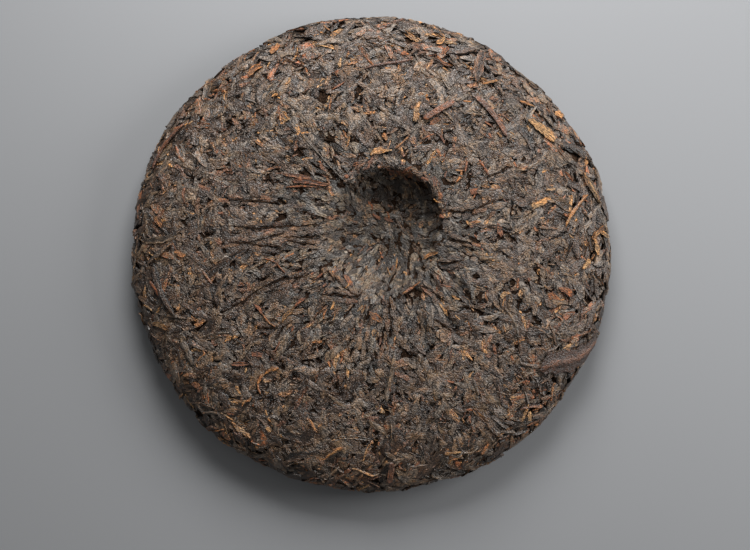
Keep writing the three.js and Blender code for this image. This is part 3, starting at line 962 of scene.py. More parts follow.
def leaf_finish(name, palette, fibre=0.4, roughness=0.4, depth=0.65, shade=0.1, crumpled=0.9):
    """A dry tea leaf: colours by leaf, mottled and finely ribbed, with painted shade at its sunken edges and
    creases.

    Fibre is the width of its ribs and depth the height of its relief, both in millimetres. Shade is how
    bright its sunken edges stay under the painted shade, and crumpled is how much painted shade darkens its
    creases.
    """
    material, nodes, shader = new_material(name)
    maths, texture = nodes.maths, nodes.texture

    def stored(attribute, output):
        return nodes.add("ShaderNodeAttribute", attribute_name=attribute).outputs[output]

    def about(value, amount, start):
        """A noise's distance from its middle, by an amount, on top of a start."""
        return maths("MULTIPLY_ADD", maths("SUBTRACT", value, 0.5), amount, start)

    place = nodes.add("ShaderNodeTexCoord").outputs["Object"]
    stretch = (1 / (RIB_LENGTH * MM), 1 / (fibre * MM), LEAF_SHIFT)
    ribs_at = nodes.vector_maths("MULTIPLY", stored("grain", "Vector"), stretch)
    ribs = texture(ribs_at, 1.0, 2.0, 0.6)
    mottle = texture(place, 1 / (MOTTLE_SIZE * MM), 3.0, 0.65)
    crumple = texture(place, 1 / (CRUMPLE_SIZE * MM), 0.5)
    # Wrinkles are the thin lines where a stretched noise crosses its middle value: grooves in the bump, and
    # painted shade lines in the colour.
    creased = texture(nodes.vector_maths("MULTIPLY", ribs_at, WRINKLE_STRETCH), 1.0, 1.5)
    from_middle = maths("ABSOLUTE", maths("SUBTRACT", creased, 0.5))
    wrinkles = nodes.ranged(from_middle, (0.0, WRINKLE_HALF_WIDTH), (0.15, 1.0))
    wander = about(ribs, 0.45, about(mottle, 0.6, stored("tint", "Fac")))
    # Painted shade keeps a leaf's top bright and darkens its edges, wrinkles, creases and the gaps between its
    # ribs, where shade would fall; the ribs also streak the leaf with its own grain.
    height = nodes.ranged(stored("rise", "Fac"), (0.5, 0.98), (shade, 1.0))
    creases = maths("MULTIPLY_ADD", crumple, crumpled, 1 - crumpled / 2)
    painted_shade_and_grain = maths("MULTIPLY", maths("MULTIPLY", height, wrinkles), creases)
    painted_shade_and_grain = maths("MULTIPLY", painted_shade_and_grain, maths("MULTIPLY_ADD", ribs, 2.3, -0.15))
    colour = nodes.scaled(nodes.ramp(wander, colour_stops(palette)), painted_shade_and_grain)
    # The whole cake wanders slowly between cooler and warmer leaf.
    drift = texture(place, 1 / (DRIFT_SIZE * MM), 1.5)
    cast = nodes.ramp(drift, colour_stops(((0.42, "cool_cast"), (0.58, "warm_cast"))))
    nodes.tree.links.new(nodes.vector_maths("MULTIPLY", colour, cast), shader.inputs["Base Color"])
    rough = nodes.ranged(ribs, (0.3, 0.7), (roughness - 0.1, roughness + 0.12))
    nodes.tree.links.new(rough, shader.inputs["Roughness"])
    relief = maths("MULTIPLY_ADD", wrinkles, 0.35, maths("MULTIPLY_ADD", ribs, 0.7, crumple))
    bump = nodes.first("ShaderNodeBump", {"Height": relief, "Strength": 0.9, "Distance": depth * MM})
    nodes.tree.links.new(bump, shader.inputs["Normal"])
    shader.inputs["IOR"].default_value = 1.5
    shader.inputs["Sheen Weight"].default_value = 0.06
    shader.inputs["Sheen Roughness"].default_value = 0.4
    return material


def core_finish():
    """Pressed leaf dust between the leaves, painted nearly black as the shade in the gaps, matt, with a few
    brown crumbs.
    """
    material, nodes, shader = new_material("pressed_leaf_dust")
    place = nodes.add("ShaderNodeTexCoord").outputs["Object"]
    crumbs = nodes.texture(place, 1 / (CRUMB_SIZE * MM), 3.0, 0.7)
    colour = nodes.ramp(crumbs, colour_stops(((0.42, "gap"), (0.58, "deep"), (0.72, "dark"))))
    nodes.tree.links.new(colour, shader.inputs["Base Color"])
    bump = nodes.first("ShaderNodeBump", {"Height": crumbs, "Strength": 1.0, "Distance": 0.5 * MM})
    nodes.tree.links.new(bump, shader.inputs["Normal"])
    shader.inputs["Roughness"].default_value = 0.9
    shader.inputs["Specular IOR Level"].default_value = 0.05
    return material


def finish_of(name):
    """One of the cake's finishes, made once."""
    if name in bpy.data.materials:
        return bpy.data.materials[name]
    if name == "pressed_leaf_dust":
        return core_finish()
    return leaf_finish(name, **FINISHES[name])


def length_setting(name, description, millimetres):
    return bpy.props.FloatProperty(
        name=name,
        description=description,
        default=millimetres * MM,
        subtype="DISTANCE",
        unit="LENGTH",
        precision=4,
    )


def colour_setting(name, description, hex_colour):
    return bpy.props.StringProperty(name=name, description=description, default=hex_colour)


class TeaCakeSizes(bpy.types.PropertyGroup):
    """Sizes of the pressed disc and its dimple."""

    radius: length_setting("Radius", "Radius of the pressed disc, without its loose leaves", 98.6)
    crown_height: length_setting("Crown height", "Height of the upper face over the surface it lies on", 24.2)
    girth_height: length_setting("Girth height", "Height at which the disc is widest", 9.5)
    rest_radius: length_setting("Rest radius", "Radius of the flat spot that the cake lies on", 62)
    dimple_x: length_setting("Dimple across", "Place of the dimple's middle to the right", 8.5)
    dimple_y: length_setting("Dimple up", "Place of the dimple's middle towards its steep wall", 13.5)
    dimple_depth: length_setting("Dimple depth", "How deep the knot of the bag pressed in", 13.5)
    dimple_lip: length_setting("Dimple lip", "How far the lip stands proud over the steep wall", 0.9)
    steep_reach: length_setting("Steep reach", "From the dimple's middle to its steep wall", 20.8)
    side_reach: length_setting("Side reach", "From the dimple's middle to its edge beside the slope", 23.0)
    soft_reach: length_setting("Soft reach", "From the dimple's middle to the end of its soft slope", 34)
    inset: length_setting("Core inset", "How far the core lies under the skin, to make room for leaves", 0.6)
    ring_spacing: length_setting("Ring spacing", "Distance between the core's rings of points", 0.95)
    segments: bpy.props.IntProperty(
        name="Segments", description="Points round each ring of the core", default=450
    )


class TeaCakeColours(bpy.types.PropertyGroup):
    """sRGB colours of the leaves and of the floor."""

    # Gap is the painted shade of the gaps between the leaves, on top of their dust.
    gap: colour_setting("Gap", "Dust deep between the leaves", "#150e09")
    deep: colour_setting("Deep", "Nearly black leaf", "#30231a")
    dark: colour_setting("Dark", "Dark brown leaf", "#4c3b2f")
    grey: colour_setting("Grey", "Grey brown leaf with a dull shine", "#6c5f52")
    # Dusty is also the pale of the painted sheen on the rubbed patches.
    dusty: colour_setting("Dusty", "Leaf rubbed to a pale grey", "#7b736a")
    slate: colour_setting("Slate", "Cool dark leaf of the folds", "#3f3b37")
    brown: colour_setting("Brown", "Mid brown leaf", "#705945")
    red_brown: colour_setting("Red brown", "Reddish brown leaf and stalk", "#6a4633")
    rust: colour_setting("Rust", "Rust coloured bud", "#885434")
    gold: colour_setting("Gold", "Golden bud", "#a0713d")
    tan: colour_setting("Tan", "Pale tan tip", "#b58b5c")
    cool_cast: colour_setting("Cool cast", "What the cooler leaves' colours are multiplied by", "#e6eaf1")
    warm_cast: colour_setting("Warm cast", "What the warmer leaves' colours are multiplied by", "#ffeed6")
    floor: colour_setting("Floor", "Plain pale floor", "#797b7e")


class TeaCakeStage(bpy.types.PropertyGroup):
    """Camera and lights."""

    elevation: bpy.props.FloatProperty(
        name="Elevation",
        description="Camera's height over the horizon",
        default=math.radians(85),
        subtype="ANGLE",
    )
    lens: bpy.props.FloatProperty(
        name="Lens", description="Focal length", default=85.0, unit="CAMERA"
    )
    key_power: bpy.props.FloatProperty(
        name="Key", description="Power of the main light", default=4.7, unit="POWER"
    )
    fill_power: bpy.props.FloatProperty(
        name="Fill", description="Power of the side light", default=5.1, unit="POWER"
    )
    sky: bpy.props.FloatProperty(
        name="Sky", description="Strength of the even light from all round", default=0.25
    )


def layered_noise(layers, point):
    """Noises at a point, each by its share and its size, on top of each other."""
    return sum(share * noise.noise(Vector(point) / size) for share, size in layers)


def relief(points):
    """Fine crumbs of the core, in millimetres."""
    return np.array([layered_noise(CRUMBS, p) for p in points])


def gather_depth(theta, distance):
    """Depth of the bag's fine gathers round the dimple."""
    rng = np.random.default_rng(GATHERS["seed"])
    depth = np.zeros_like(theta)
    for i in range(GATHERS["count"]):
        angle = (i + rng.uniform(-0.4, 0.4)) * TURN / GATHERS["count"]
        reach = rng.uniform(*GATHERS["reach"])
        deep = rng.uniform(*GATHERS["depth"])
        width = rng.uniform(*GATHERS["width"])
        start = rng.uniform(*GATHERS["start"])
        turn = theta - angle
        aside = np.arctan2(np.sin(turn), np.cos(turn)) * distance / width
        fade = smooth(start, start + 6, distance) * (1 - smooth(reach * 0.6, reach, distance))
        depth += deep * fade * np.exp(-aside * aside)
    return depth


def from_cracks(points):
    """Each point's distance from the nearest crack, seen from above."""
    nearest = np.full(len(points), 1e3)
    for crack in CRACKS:
        start, end = np.array(from_photo(*crack[:2])), np.array(from_photo(*crack[2:]))
        way = end - start
        share = np.clip((points[:, :2] - start) @ way / (way @ way), 0, 1)
        nearest = np.minimum(nearest, np.linalg.norm(points[:, :2] - start - share[:, None] * way, axis=1))
    return nearest


def ring_faces(rings, segments):
    """Faces of a skin of rings: a fan from its first point, bands, and a fan to its last point."""
    faces = []
    outer = 1 + (rings - 1) * segments
    last = outer + segments
    for j in range(segments):
        beside = (j + 1) % segments
        faces.append((0, 1 + j, 1 + beside))
        for a in range(1, outer, segments):
            b = a + segments
            faces.append((a + j, b + j, b + beside, a + beside))
        faces.append((outer + j, last, outer + beside))
    return faces


class TEACAKE_OT_core(bpy.types.Operator):
    """Makes the pressed core, with the zones and directions by which its leaves are laid"""

    bl_idname = "tea_cake.core"
    bl_label = "Pressed core"

    def execute(self, context):
        sizes = context.scene.tea_cake_sizes
        skin = Skin(sizes)
        rings = int(skin.length * MM / sizes.ring_spacing)
        share = np.linspace(0, 1, rings + 1)[1:]
        theta = np.arange(sizes.segments) * TURN / sizes.segments
        share, theta = (a.ravel() for a in np.meshgrid(share, theta, indexing="ij"))
        share, theta = np.append(0, share), np.append(0, theta)
        out, up = skin.section(share)
        points = skin.at(theta, share)
        outward, round_way, down_way = skin.frame_at(theta, np.maximum(share, 0.002))
        upper = share < skin.girth_share
        inset = sizes.inset / MM
        from_dimple = points - (*skin.dimple + FOLDS_MEET, 0)
        from_dimple[:, 2] = 0
        distance = np.hypot(from_dimple[:, 0], from_dimple[:, 1])
        across = np.arctan2(from_dimple[:, 1], from_dimple[:, 0])
        cracks = CRACK["depth"] * np.exp(-((from_cracks(points) / CRACK["half_width"]) ** 2))
        push = relief(points) - inset - np.where(upper, gather_depth(across, distance) + cracks, 0)
        points = points + outward * push[:, None]
        flat = share > 0.999
        points[flat, 2] = inset
        points[:, 2] = np.maximum(points[:, 2], 0.5 * inset)
        points = np.vstack([points, [(0, 0, inset)]])
        core = mesh_piece("pressed_core", points, ring_faces(rings, sizes.segments))
        # The edge is loose, further in on one side and in blotches.
        blotches = np.array([layered_noise(BLOTCHES, p) for p in points[:-1]])
        loosely = out + 7 * blotches + 6 * np.cos(theta - math.radians(RIM_WIDEST))
        below = np.where(upper, 1, smooth(*RIM_BELOW, out))
        on_rim = smooth(*LOOSE_EDGE, loosely) * below
        # Directions: out from the dimple on the face but aslant at its very middle, round the cake on the
        # rim, and any way underneath.
        away = from_dimple / np.maximum(distance, 0.1)[:, None]
        aslant = np.sign(away @ FOLDS_ASLANT + 1e-6)[:, None] * FOLDS_ASLANT
        away = lerp(aslant, away, smooth(3, 16, distance)[:, None])
        flow = np.where((on_rim > 0.5)[:, None], round_way, away)
        orderly = 0.5 - 0.5 * np.cos(across - math.radians(STEEP_WAY))
        leftward = np.clip(-np.cos(across - math.radians(SHORT_FOLDS_WAY)), 0, 1)
        near = math.radians(FOLD_TURN) + (1 - orderly) * math.radians(UNTIDY_TURN)
        steep, opposite, left = (FOLDS_LOOSEN[side] for side in ("steep", "opposite", "left"))
        loosens = [lerp(lerp(steep[i], opposite[i], orderly), left[i], leftward) for i in (0, 1)]
        spread = lerp(near, math.pi / 2, smooth(*loosens, distance))
        spread = np.where(upper, spread, math.pi / 2)
        spread = lerp(spread, math.radians(RIM_TURN), on_rim)
        pressed = lerp(LOOSENESS["dimple"], LOOSENESS["face"], smooth(14, 40, distance))
        looseness = lerp(np.where(upper, pressed, LOOSENESS["under"]), LOOSENESS["rim"], on_rim)
        gold = np.clip(0.3 + 1.8 * blotches, 0.06, 1) * lerp(0.3, 1, smooth(20, 40, distance))
        uncracked = 1 - np.exp(-((from_cracks(points[:-1]) / CRACK["half_width"]) ** 2))
        face = np.where(upper, 1 - smooth(*FACE_ENDS, loosely), 0) * uncracked
        folds = (1 - smooth(*loosens, distance)) * face
        # Pale patches of rubbed leaf, partly a painted sheen where the slope faces the light.
        rubbed = np.zeros(len(share))
        for *middle, wide, high, amount in RUBBED_AND_SHEEN:
            place = (points[:-1, :2] - from_photo(*middle)) / (wide, high)
            rubbed = np.maximum(rubbed, amount * np.exp(-((place**2).sum(axis=1) ** 2)))
        under = np.where(upper, 0, 1 - smooth(*UNDER_ENDS, out))
        rim = smooth(*RIM_ZONE, loosely) * below
        mesh = core.data
        store(mesh, "out", np.vstack([outward, (0, 0, -1)]), "FLOAT_VECTOR")
        store(mesh, "flow", np.vstack([flow, (1, 0, 0)]), "FLOAT_VECTOR")
        for name, values, last_value in (
            ("spread", spread, math.pi / 2),
            ("looseness", looseness, LOOSENESS["under"]),
            ("face", face, 0),
            ("open_face", face - folds, 0),
            ("folds", folds, 0),
            ("rubbed", rubbed, 0),
            ("rim", rim, 0),
            ("under", under, 1),
            ("gold_face", gold * face, 0),
            ("gold_rim", gold * rim, 0),
        ):
            store(mesh, name, np.append(values, last_value))
        mesh.shade_smooth()
        hand_over(core, finish_of("pressed_leaf_dust"))
        return {"FINISHED"}


def leaf_shapes(kind):
    """The collection of shapes of one kind of leaf, made once."""
    found = bpy.data.collections.get(kind)
    if found:
        return found
    seed, count, make = {
        "strips": (1, 18, lambda rng, i: strip_leaf(rng, 6, 4, ("ridged", "flat", "channel")[i % 3])),
        "pressed": (5, 20, lambda rng, i: strip_leaf(rng, 6, 5, "pressed")),
        "plain": (8, 16, lambda rng, i: strip_leaf(rng, 5, 4, "pressed")),
        "slivers": (2, 10, lambda rng, i: strip_leaf(rng, 3, 4, ("ridged", "flat")[i % 2])),
        "scraps": (3, 14, lambda rng, i: flake(rng, 9)),
        "loose_strips": (4, 16, lambda rng, i: strip_leaf(rng, 8, 5, ("channel", "ridged", "flat")[i % 3])),
        "folds": (6, 16, lambda rng, i: strip_leaf(rng, 8, 4, ("ridged", "flat")[i % 2])),
    }[kind]
    rng = np.random.default_rng(seed)
    return shape_collection(kind, [make(rng, i) for i in range(count)])


LOOSE = (0.85, 0.9)


def layer(
    zone, shapes, finish, per_square_cm, seed, length, width, thickness,
    lift=(-0.1, 0.3), tip=0.5, edge=0.35, spread=1, press=(0.52, 0.34),
):
    """A layer of leaves as the scatter tree's inputs, from sizes in millimetres.

    Shapes and finish are names here, and are made when the layer is laid.

    Lift is the height of a leaf's foot over the core, tip and edge are how far it can tip along and across,
    spread is a share of the turn that its place allows, and press is the height that no leaf's top passes,
    with a step that differs by leaf.
    """
    ranges = {
        ("Shortest", "Longest"): length,
        ("Narrowest", "Widest"): width,
        ("Thinnest", "Thickest"): thickness,
        ("Lowest lift", "Highest lift"): lift,
        ("Tip rise", "Edge rise"): (tip, edge),
        ("Press height", "Press step"): press,
    }
    settings = {
        "Leaf shapes": shapes,
        "Zone": zone,
        "Leaves per square metre": per_square_cm * 1e4,
        "Seed": seed,
        "Spread": float(spread),
        "Finish": finish,
    }
    for names, values in ranges.items():
        for name, value in zip(names, values):
            settings[name] = value * MM
    return settings


FACE_LAYERS = {
    "face_lower_leaves": layer(
        "open_face", "plain", "ripe_leaf_rolled",
        3.5, 19, (5, 11), (2.5, 5), (0.4, 0.7), lift=(-0.2, 0.1), tip=0.3, edge=0.2, press=(0.3, 0.2),
    ),
    "face_broad_leaves": layer(
        "open_face", "pressed", "ripe_leaf_broad",
        4, 20, (5, 12), (2.2, 4.8), (0.5, 0.8), lift=(0.1, 0.6), press=(0.62, 0.34),
    ),
    "face_dark_leaves": layer(
        "open_face", "pressed", "ripe_leaf_rolled",
        6.4, 21, (4, 11), (1.4, 3.4), (0.5, 1.0),
    ),
    "face_brown_leaves": layer(
        "open_face", "pressed", "ripe_leaf_pressed",
        4, 22, (3.5, 9), (1.2, 3), (0.5, 0.9),
    ),
    "face_dark_strips": layer(
        "open_face", "strips", "ripe_leaf_rolled",
        4, 26, (3, 8), (0.7, 1.6), (0.5, 1.0), lift=(0, 0.4),
    ),
    "face_scraps": layer(
        "face", "scraps", "ripe_leaf_rolled",
        7, 23, (1.8, 4.6), (1.5, 3.2), (0.5, 0.9), lift=(-0.15, 0.2),
    ),
    "face_crumbs": layer(
        "face", "scraps", "ripe_leaf_pressed",
        2.5, 29, (0.9, 2.2), (0.8, 1.6), (0.5, 0.8), lift=(-0.1, 0.2),
    ),
    "face_slivers": layer(
        "open_face", "slivers", "ripe_leaf_pressed",
        3, 24, (1.8, 4.5), (0.4, 0.8), (0.4, 0.8), lift=(0.2, 0.7),
    ),
    "face_folded_leaves": layer(
        "folds", "pressed", "ripe_leaf_folded",
        10, 27, (3.5, 10), (1.6, 4), (0.4, 0.8), press=(0.42, 0.3),
    ),
    "face_folded_brown_leaves": layer(
        "folds", "pressed", "ripe_leaf_pressed",
        3, 28, (2.5, 7), (0.9, 2.2), (0.5, 0.9), lift=(-0.1, 0.3), press=(0.45, 0.28),
    ),
    "face_fold_threads": layer(
        "folds", "folds", "ripe_leaf_folded",
        1.5, 30, (4, 10), (0.4, 0.8), (0.6, 0.9), lift=(0, 0.3), press=(0.6, 0.2),
    ),
    # Pale rubbed leaves, partly a painted sheen on slopes that face the light.
    "face_rubbed_leaves": layer(
        "rubbed", "pressed", "ripe_leaf_rubbed",
        26, 34, (2.5, 6), (1.4, 2.8), (0.4, 0.7), lift=(0.1, 0.3), press=(0.6, 0.15),
    ),
    # Nearly black slivers laid among the leaves as painted shade lines of the gaps between them.
    "face_fold_gaps": layer(
        "folds", "slivers", "pressed_leaf_dust",
        4, 35, (3, 9), (0.18, 0.36), (0.4, 0.6), lift=(0.25, 0.45), tip=0.15, edge=0, spread=0.7,
        press=(0.74, 0.06),
    ),
    "face_gaps": layer(
        "open_face", "slivers", "pressed_leaf_dust",
        6, 36, (1.5, 5), (0.2, 0.42), (0.4, 0.6), lift=(0.45, 0.6), tip=0.15, edge=0, press=(0.92, 0.08),
    ),
    "face_golden_buds": layer(
        "gold_face", "pressed", "golden_bud",
        2.6, 25, (2, 6), (0.6, 1.6), (0.5, 0.8), lift=(0.1, 0.6), tip=0.3, edge=0.2,
    ),
}
RIM_LAYERS = {
    "rim_dark_strips": layer(
        "rim", "loose_strips", "ripe_leaf_loose",
        4.5, 31, (6, 15), (1.6, 4.2), (0.6, 1.2), lift=(-0.2, 0.5), tip=0.9, edge=0.5, press=LOOSE,
    ),
    "rim_broad_leaves": layer(
        "rim", "pressed", "ripe_leaf_loose",
        2.4, 39, (5, 11), (2.6, 5), (0.6, 1.0), lift=(0, 0.6), press=LOOSE,
    ),
    "rim_fine_strips": layer(
        "rim", "strips", "ripe_leaf_loose",
        4.5, 37, (3, 9), (0.8, 1.9), (0.6, 1.1), lift=(-0.1, 0.6), tip=0.9, edge=0.5, press=LOOSE,
    ),
    "rim_scraps": layer(
        "rim", "scraps", "ripe_leaf_loose",
        8, 38, (2, 5.5), (1.5, 3.4), (0.4, 0.8), lift=(-0.1, 0.3),
    ),
    "rim_brown_strips": layer(
        "rim", "loose_strips", "ripe_leaf_pressed",
        3.4, 32, (4, 11), (1.1, 2.6), (0.5, 1.1), lift=(-0.1, 0.5), tip=0.9, edge=0.5, press=LOOSE,
    ),
    "rim_golden_buds": layer(
        "gold_rim", "loose_strips", "golden_bud_loose",
        2.2, 33, (3, 9), (0.7, 1.9), (0.5, 0.9), lift=(0, 0.6), tip=0.7, edge=0.4, press=LOOSE,
    ),
}
UNDERSIDE_LAYERS = {
    "underside_dark_leaves": layer(
        "under", "plain", "ripe_leaf_rolled",
        7.5, 41, (5, 13), (2, 4.8), (0.5, 0.9),
    ),
    "underside_brown_leaves": layer(
        "under", "plain", "ripe_leaf_pressed",
        4.5, 42, (4, 11), (1.6, 3.8), (0.5, 0.9),
    ),
}


def lay_layers(layers):
    for name, settings in layers.items():
        made = {
            "Leaf shapes": leaf_shapes(settings["Leaf shapes"]),
            "Finish": finish_of(settings["Finish"]),
        }
        hand_over(lay_leaves(name, bpy.data.objects["pressed_core"], settings | made))


class TEACAKE_OT_face_leaves(bpy.types.Operator):
    """Lays the leaves that are pressed into the upper face"""

    bl_idname = "tea_cake.face_leaves"
    bl_label = "Face leaves"

    def execute(self, context):
        lay_layers(FACE_LAYERS)
        return {"FINISHED"}


class TEACAKE_OT_rim_leaves(bpy.types.Operator):
    """Lays the looser leaves round the shoulder and edge"""

    bl_idname = "tea_cake.rim_leaves"
    bl_label = "Rim leaves"

    def execute(self, context):
        lay_layers(RIM_LAYERS)
        return {"FINISHED"}


class TEACAKE_OT_large_leaves(bpy.types.Operator):
    """Lays the large leaves of the rim and of the face, one by one"""

    bl_idname = "tea_cake.large_leaves"
    bl_label = "Large leaves"

    def execute(self, context):
        skin = Skin(context.scene.tea_cake_sizes)
        draws = Draws(DRAW_SEED)
        rng = np.random.default_rng(DRAW_SEED)
        rim, face = LeafHeap(skin), LeafHeap(skin)

        def lay(heap, leaves, i, place, heading):
            """Lays one leaf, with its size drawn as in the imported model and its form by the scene."""
            size = [draws.between(*leaves[part]) for part in ("length", "width", "thickness")]
            shape = strip_leaf(rng, 12, 9, LARGE_FORMS[i % 3])
            heap.lay(shape, place, heading, size, leaves["sink"], rng.uniform(0, 1), rng.uniform(-1, 1))

        for i in range(RIM_LEAVES["count"]):
            theta = (i + draws.between(0.1, 0.9)) / RIM_LEAVES["count"] * TURN
            share = draws.between(*RIM_LEAVES["share"])
            heading = math.pi / 2 + math.radians(draws.between(-RIM_LEAVES["turn"], RIM_LEAVES["turn"]))
            lay(rim, RIM_LEAVES, i, (theta, share), heading)
        for i in range(FACE_LEAVES["count"]):
            share = lerp(*FACE_LEAVES["share"], math.sqrt((i + 0.5) / FACE_LEAVES["count"]))
            spread = lerp(*FACE_LEAVES["turn"], smooth(0.35, 0.6, share))
            lay(face, FACE_LEAVES, i, (i * GOLDEN_ANGLE, share), math.radians(draws.between(-spread, spread)))
        rim.piece("large_rim_leaves", finish_of("ripe_leaf_loose"))
        face.piece("large_face_leaves", finish_of("ripe_leaf_broad"))
        return {"FINISHED"}


def walk(line, spacing):
    """Places along a line of points of the photograph, and the line's heading there."""
    corners = np.array([from_photo(*corner) for corner in line])
    for start, end in zip(corners[:-1], corners[1:]):
        way = end - start
        length = float(np.hypot(*way))
        steps = max(1, round(length / spacing))
        for i in range(steps):
            yield start + way * (i + 0.5) / steps, math.atan2(way[1], way[0])


def either_way(rng, most):
    """A random number up to the most, either way from 0."""
    return rng.uniform(-most, most)


def flat_size(rng, leaves):
    """A random length and width within the leaves' ranges, and their one thickness."""
    return rng.uniform(*leaves["length"]), rng.uniform(*leaves["width"]), leaves["thickness"]


def left_of(spot, heading, aside):
    """The place beside a spot, to the left of its heading."""
    return spot[0] - aside * math.sin(heading), spot[1] + aside * math.cos(heading)


class TEACAKE_OT_edges(bpy.types.Operator):
    """Lays the leaves that stand along the dimple's sharp edge and on both sides of each crack"""

    bl_idname = "tea_cake.edges"
    bl_label = "Edges of dimple and cracks"

    def execute(self, context):
        skin = Skin(context.scene.tea_cake_sizes)
        rng = np.random.default_rng(EDGE_SEED)
        rolled, pressed, golden = "ripe_leaf_rolled", "ripe_leaf_pressed", "golden_bud"
        heaps = {finish: LeafHeap(skin) for finish in (rolled, pressed, golden)}
        finishes = (rolled, pressed, golden, rolled, pressed)
        i = 0
        for spot, heading in walk(DIMPLE_EDGE, EDGE_LEAVES["spacing"]):
            for _ in range(2):
                i += 1
                size = [rng.uniform(*EDGE_LEAVES[part]) for part in ("length", "width", "thickness")]
                turned = heading + math.radians(rng.uniform(-1, 1) * EDGE_LEAVES["turn"])
                spot_beside = left_of(spot, heading, rng.uniform(*EDGE_LEAVES["aside"]))
                shape = strip_leaf(rng, 7, 6, LARGE_FORMS[i % 3])
                finish = finishes[i % 5]
                tint = rng.uniform(0.1, 0.6 if finish == golden else 1)
                bend = either_way(rng, EDGE_LEAVES["bend"])
                heaps[finish].lay_flat(shape, *spot_beside, turned, size, EDGE_LEAVES["sink"], tint, bend)
        lip_step = np.mean(CRACK_LIPS["length"]) * CRACK_LIPS["step"]
        for crack in CRACKS:
            for spot, heading in walk((crack[:2], crack[2:]), lip_step):
                for side in (-1, 1):
                    i += 1
                    size = flat_size(rng, CRACK_LIPS)
                    aside = side * (size[1] / 2 + rng.uniform(*CRACK_LIPS["gap"]))
                    spot_beside = left_of(spot, heading, aside)
                    shape = strip_leaf(rng, 8, 5, "pressed")
                    turned = heading + math.radians(either_way(rng, CRACK_LIPS["turn"]))
                    tint = rng.uniform(*CRACK_LIPS["tint"])
                    bend = either_way(rng, CRACK_LIPS["bend"])
                    heap = heaps[(rolled, rolled, pressed)[i % 3]]
                    heap.lay_flat(shape, *spot_beside, turned, size, CRACK_LIPS["sink"], tint, bend)
        # Dark dust along each crack, which is also painted shade in it.
        dust_and_shade = LeafHeap(skin)
        for crack in CRACKS:
            for spot, heading in walk((crack[:2], crack[2:]), CRACK_DUST_AND_SHADE["spacing"]):
                x, y = spot + rng.uniform(-CRACK_DUST_AND_SHADE["aside"], CRACK_DUST_AND_SHADE["aside"], 2)
                size = flat_size(rng, CRACK_DUST_AND_SHADE)
                turned = heading + math.radians(either_way(rng, CRACK_DUST_AND_SHADE["turn"]))
                dust_and_shade.lay_flat(strip_leaf(rng, 6, 4, "flat"), x, y, turned, size, CRACK_DUST_AND_SHADE["sink"], 0)
        dust_and_shade.piece("crack_dust", finish_of("pressed_leaf_dust"))
        for finish, heap in heaps.items():
            heap.piece("edge_" + finish, finish_of(finish))
        return {"FINISHED"}


class TEACAKE_OT_noted_pieces(bpy.types.Operator):
    """Lays the stalks, buds and leaves that stand out, where they lie on the cake"""

    bl_idname = "tea_cake.noted_pieces"
    bl_label = "Noted pieces"

    def execute(self, context):
        skin = Skin(context.scene.tea_cake_sizes)
        rng = np.random.default_rng(NOTED_SEED)
        heaps = {group: LeafHeap(skin, NOTED_LOFT) for group in NOTED_GROUPS}
        for group, form, x, y, length, width, thickness, heading, bend, tint in NOTED_PIECES:
            shape = strip_leaf(rng, 12, 9, form)
            size = (length, width, thickness)
            heading = math.radians(heading)
            if math.hypot(x, y) < NOTED_FLAT_REACH:
                heaps[group].lay_flat(shape, x, y, heading, size, NOTED_SINK, tint, bend)
            else:
                theta, share = (float(v) for v in skin.beneath(np.float64(x), np.float64(y)))
                heaps[group].lay(shape, (theta, share), heading - theta, size, NOTED_SINK, tint, bend)
        for group, form, *ends, width, bend, tint in SMALL_PIECES:
            start, end = np.array(from_photo(*ends[:2])), np.array(from_photo(*ends[2:]))
            middle, way = (start + end) / 2, end - start
            flaky = form == "flake"
            size = (float(np.hypot(*way)), width, FLAKE_THICKNESS if flaky else 0.6 + 0.2 * width)
            shape = flake(rng, 14) if flaky else strip_leaf(rng, 9, 6, form)
            heaps[group].lay_flat(shape, *middle, math.atan2(way[1], way[0]), size, SMALL_SINK, tint, bend)
        for group, (name, finish) in NOTED_GROUPS.items():
            heaps[group].piece(name, finish_of(finish))
        return {"FINISHED"}


class TEACAKE_OT_underside_leaves(bpy.types.Operator):
    """Lays the leaves of the face that the cake lies on"""

    bl_idname = "tea_cake.underside_leaves"
    bl_label = "Underside leaves"

    def execute(self, context):
        lay_layers(UNDERSIDE_LAYERS)
        return {"FINISHED"}


# Each softbox: degrees round from the camera's side and up from the floor, and its distance and size in
# metres.
KEY_SOFTBOX = {"azimuth": 177, "elevation": 37, "distance": 0.48, "size": 0.3}
SIDE_SOFTBOX = {"azimuth": 102, "elevation": 24, "distance": 0.7, "size": 0.4}
SOFTBOX_COLOUR = (1.0, 0.985, 0.965)
SKY_COLOUR = (1.0, 0.99, 0.97, 1.0)
FLOOR_HALF = 2000
SENSOR_WIDTH = 36


def softbox(name, target, box, power):
    """An area light that faces the target. Azimuth 0 is on the -Y side, as the camera is."""
    lamp = bpy.data.lights.new(name, "AREA")
    lamp.size = box["size"]
    lamp.energy = power
    lamp.color = SOFTBOX_COLOUR
    a, e = math.radians(box["azimuth"]), math.radians(box["elevation"])
    away = Vector((math.sin(a) * math.cos(e), -math.cos(a) * math.cos(e), math.sin(e)))
    holder = bpy.data.objects.new(name, lamp)
    holder.location = target + away * box["distance"]
    holder.rotation_mode = "QUATERNION"
    holder.rotation_quaternion = away.to_track_quat("Z", "Y")
    bpy.context.scene.collection.objects.link(holder)


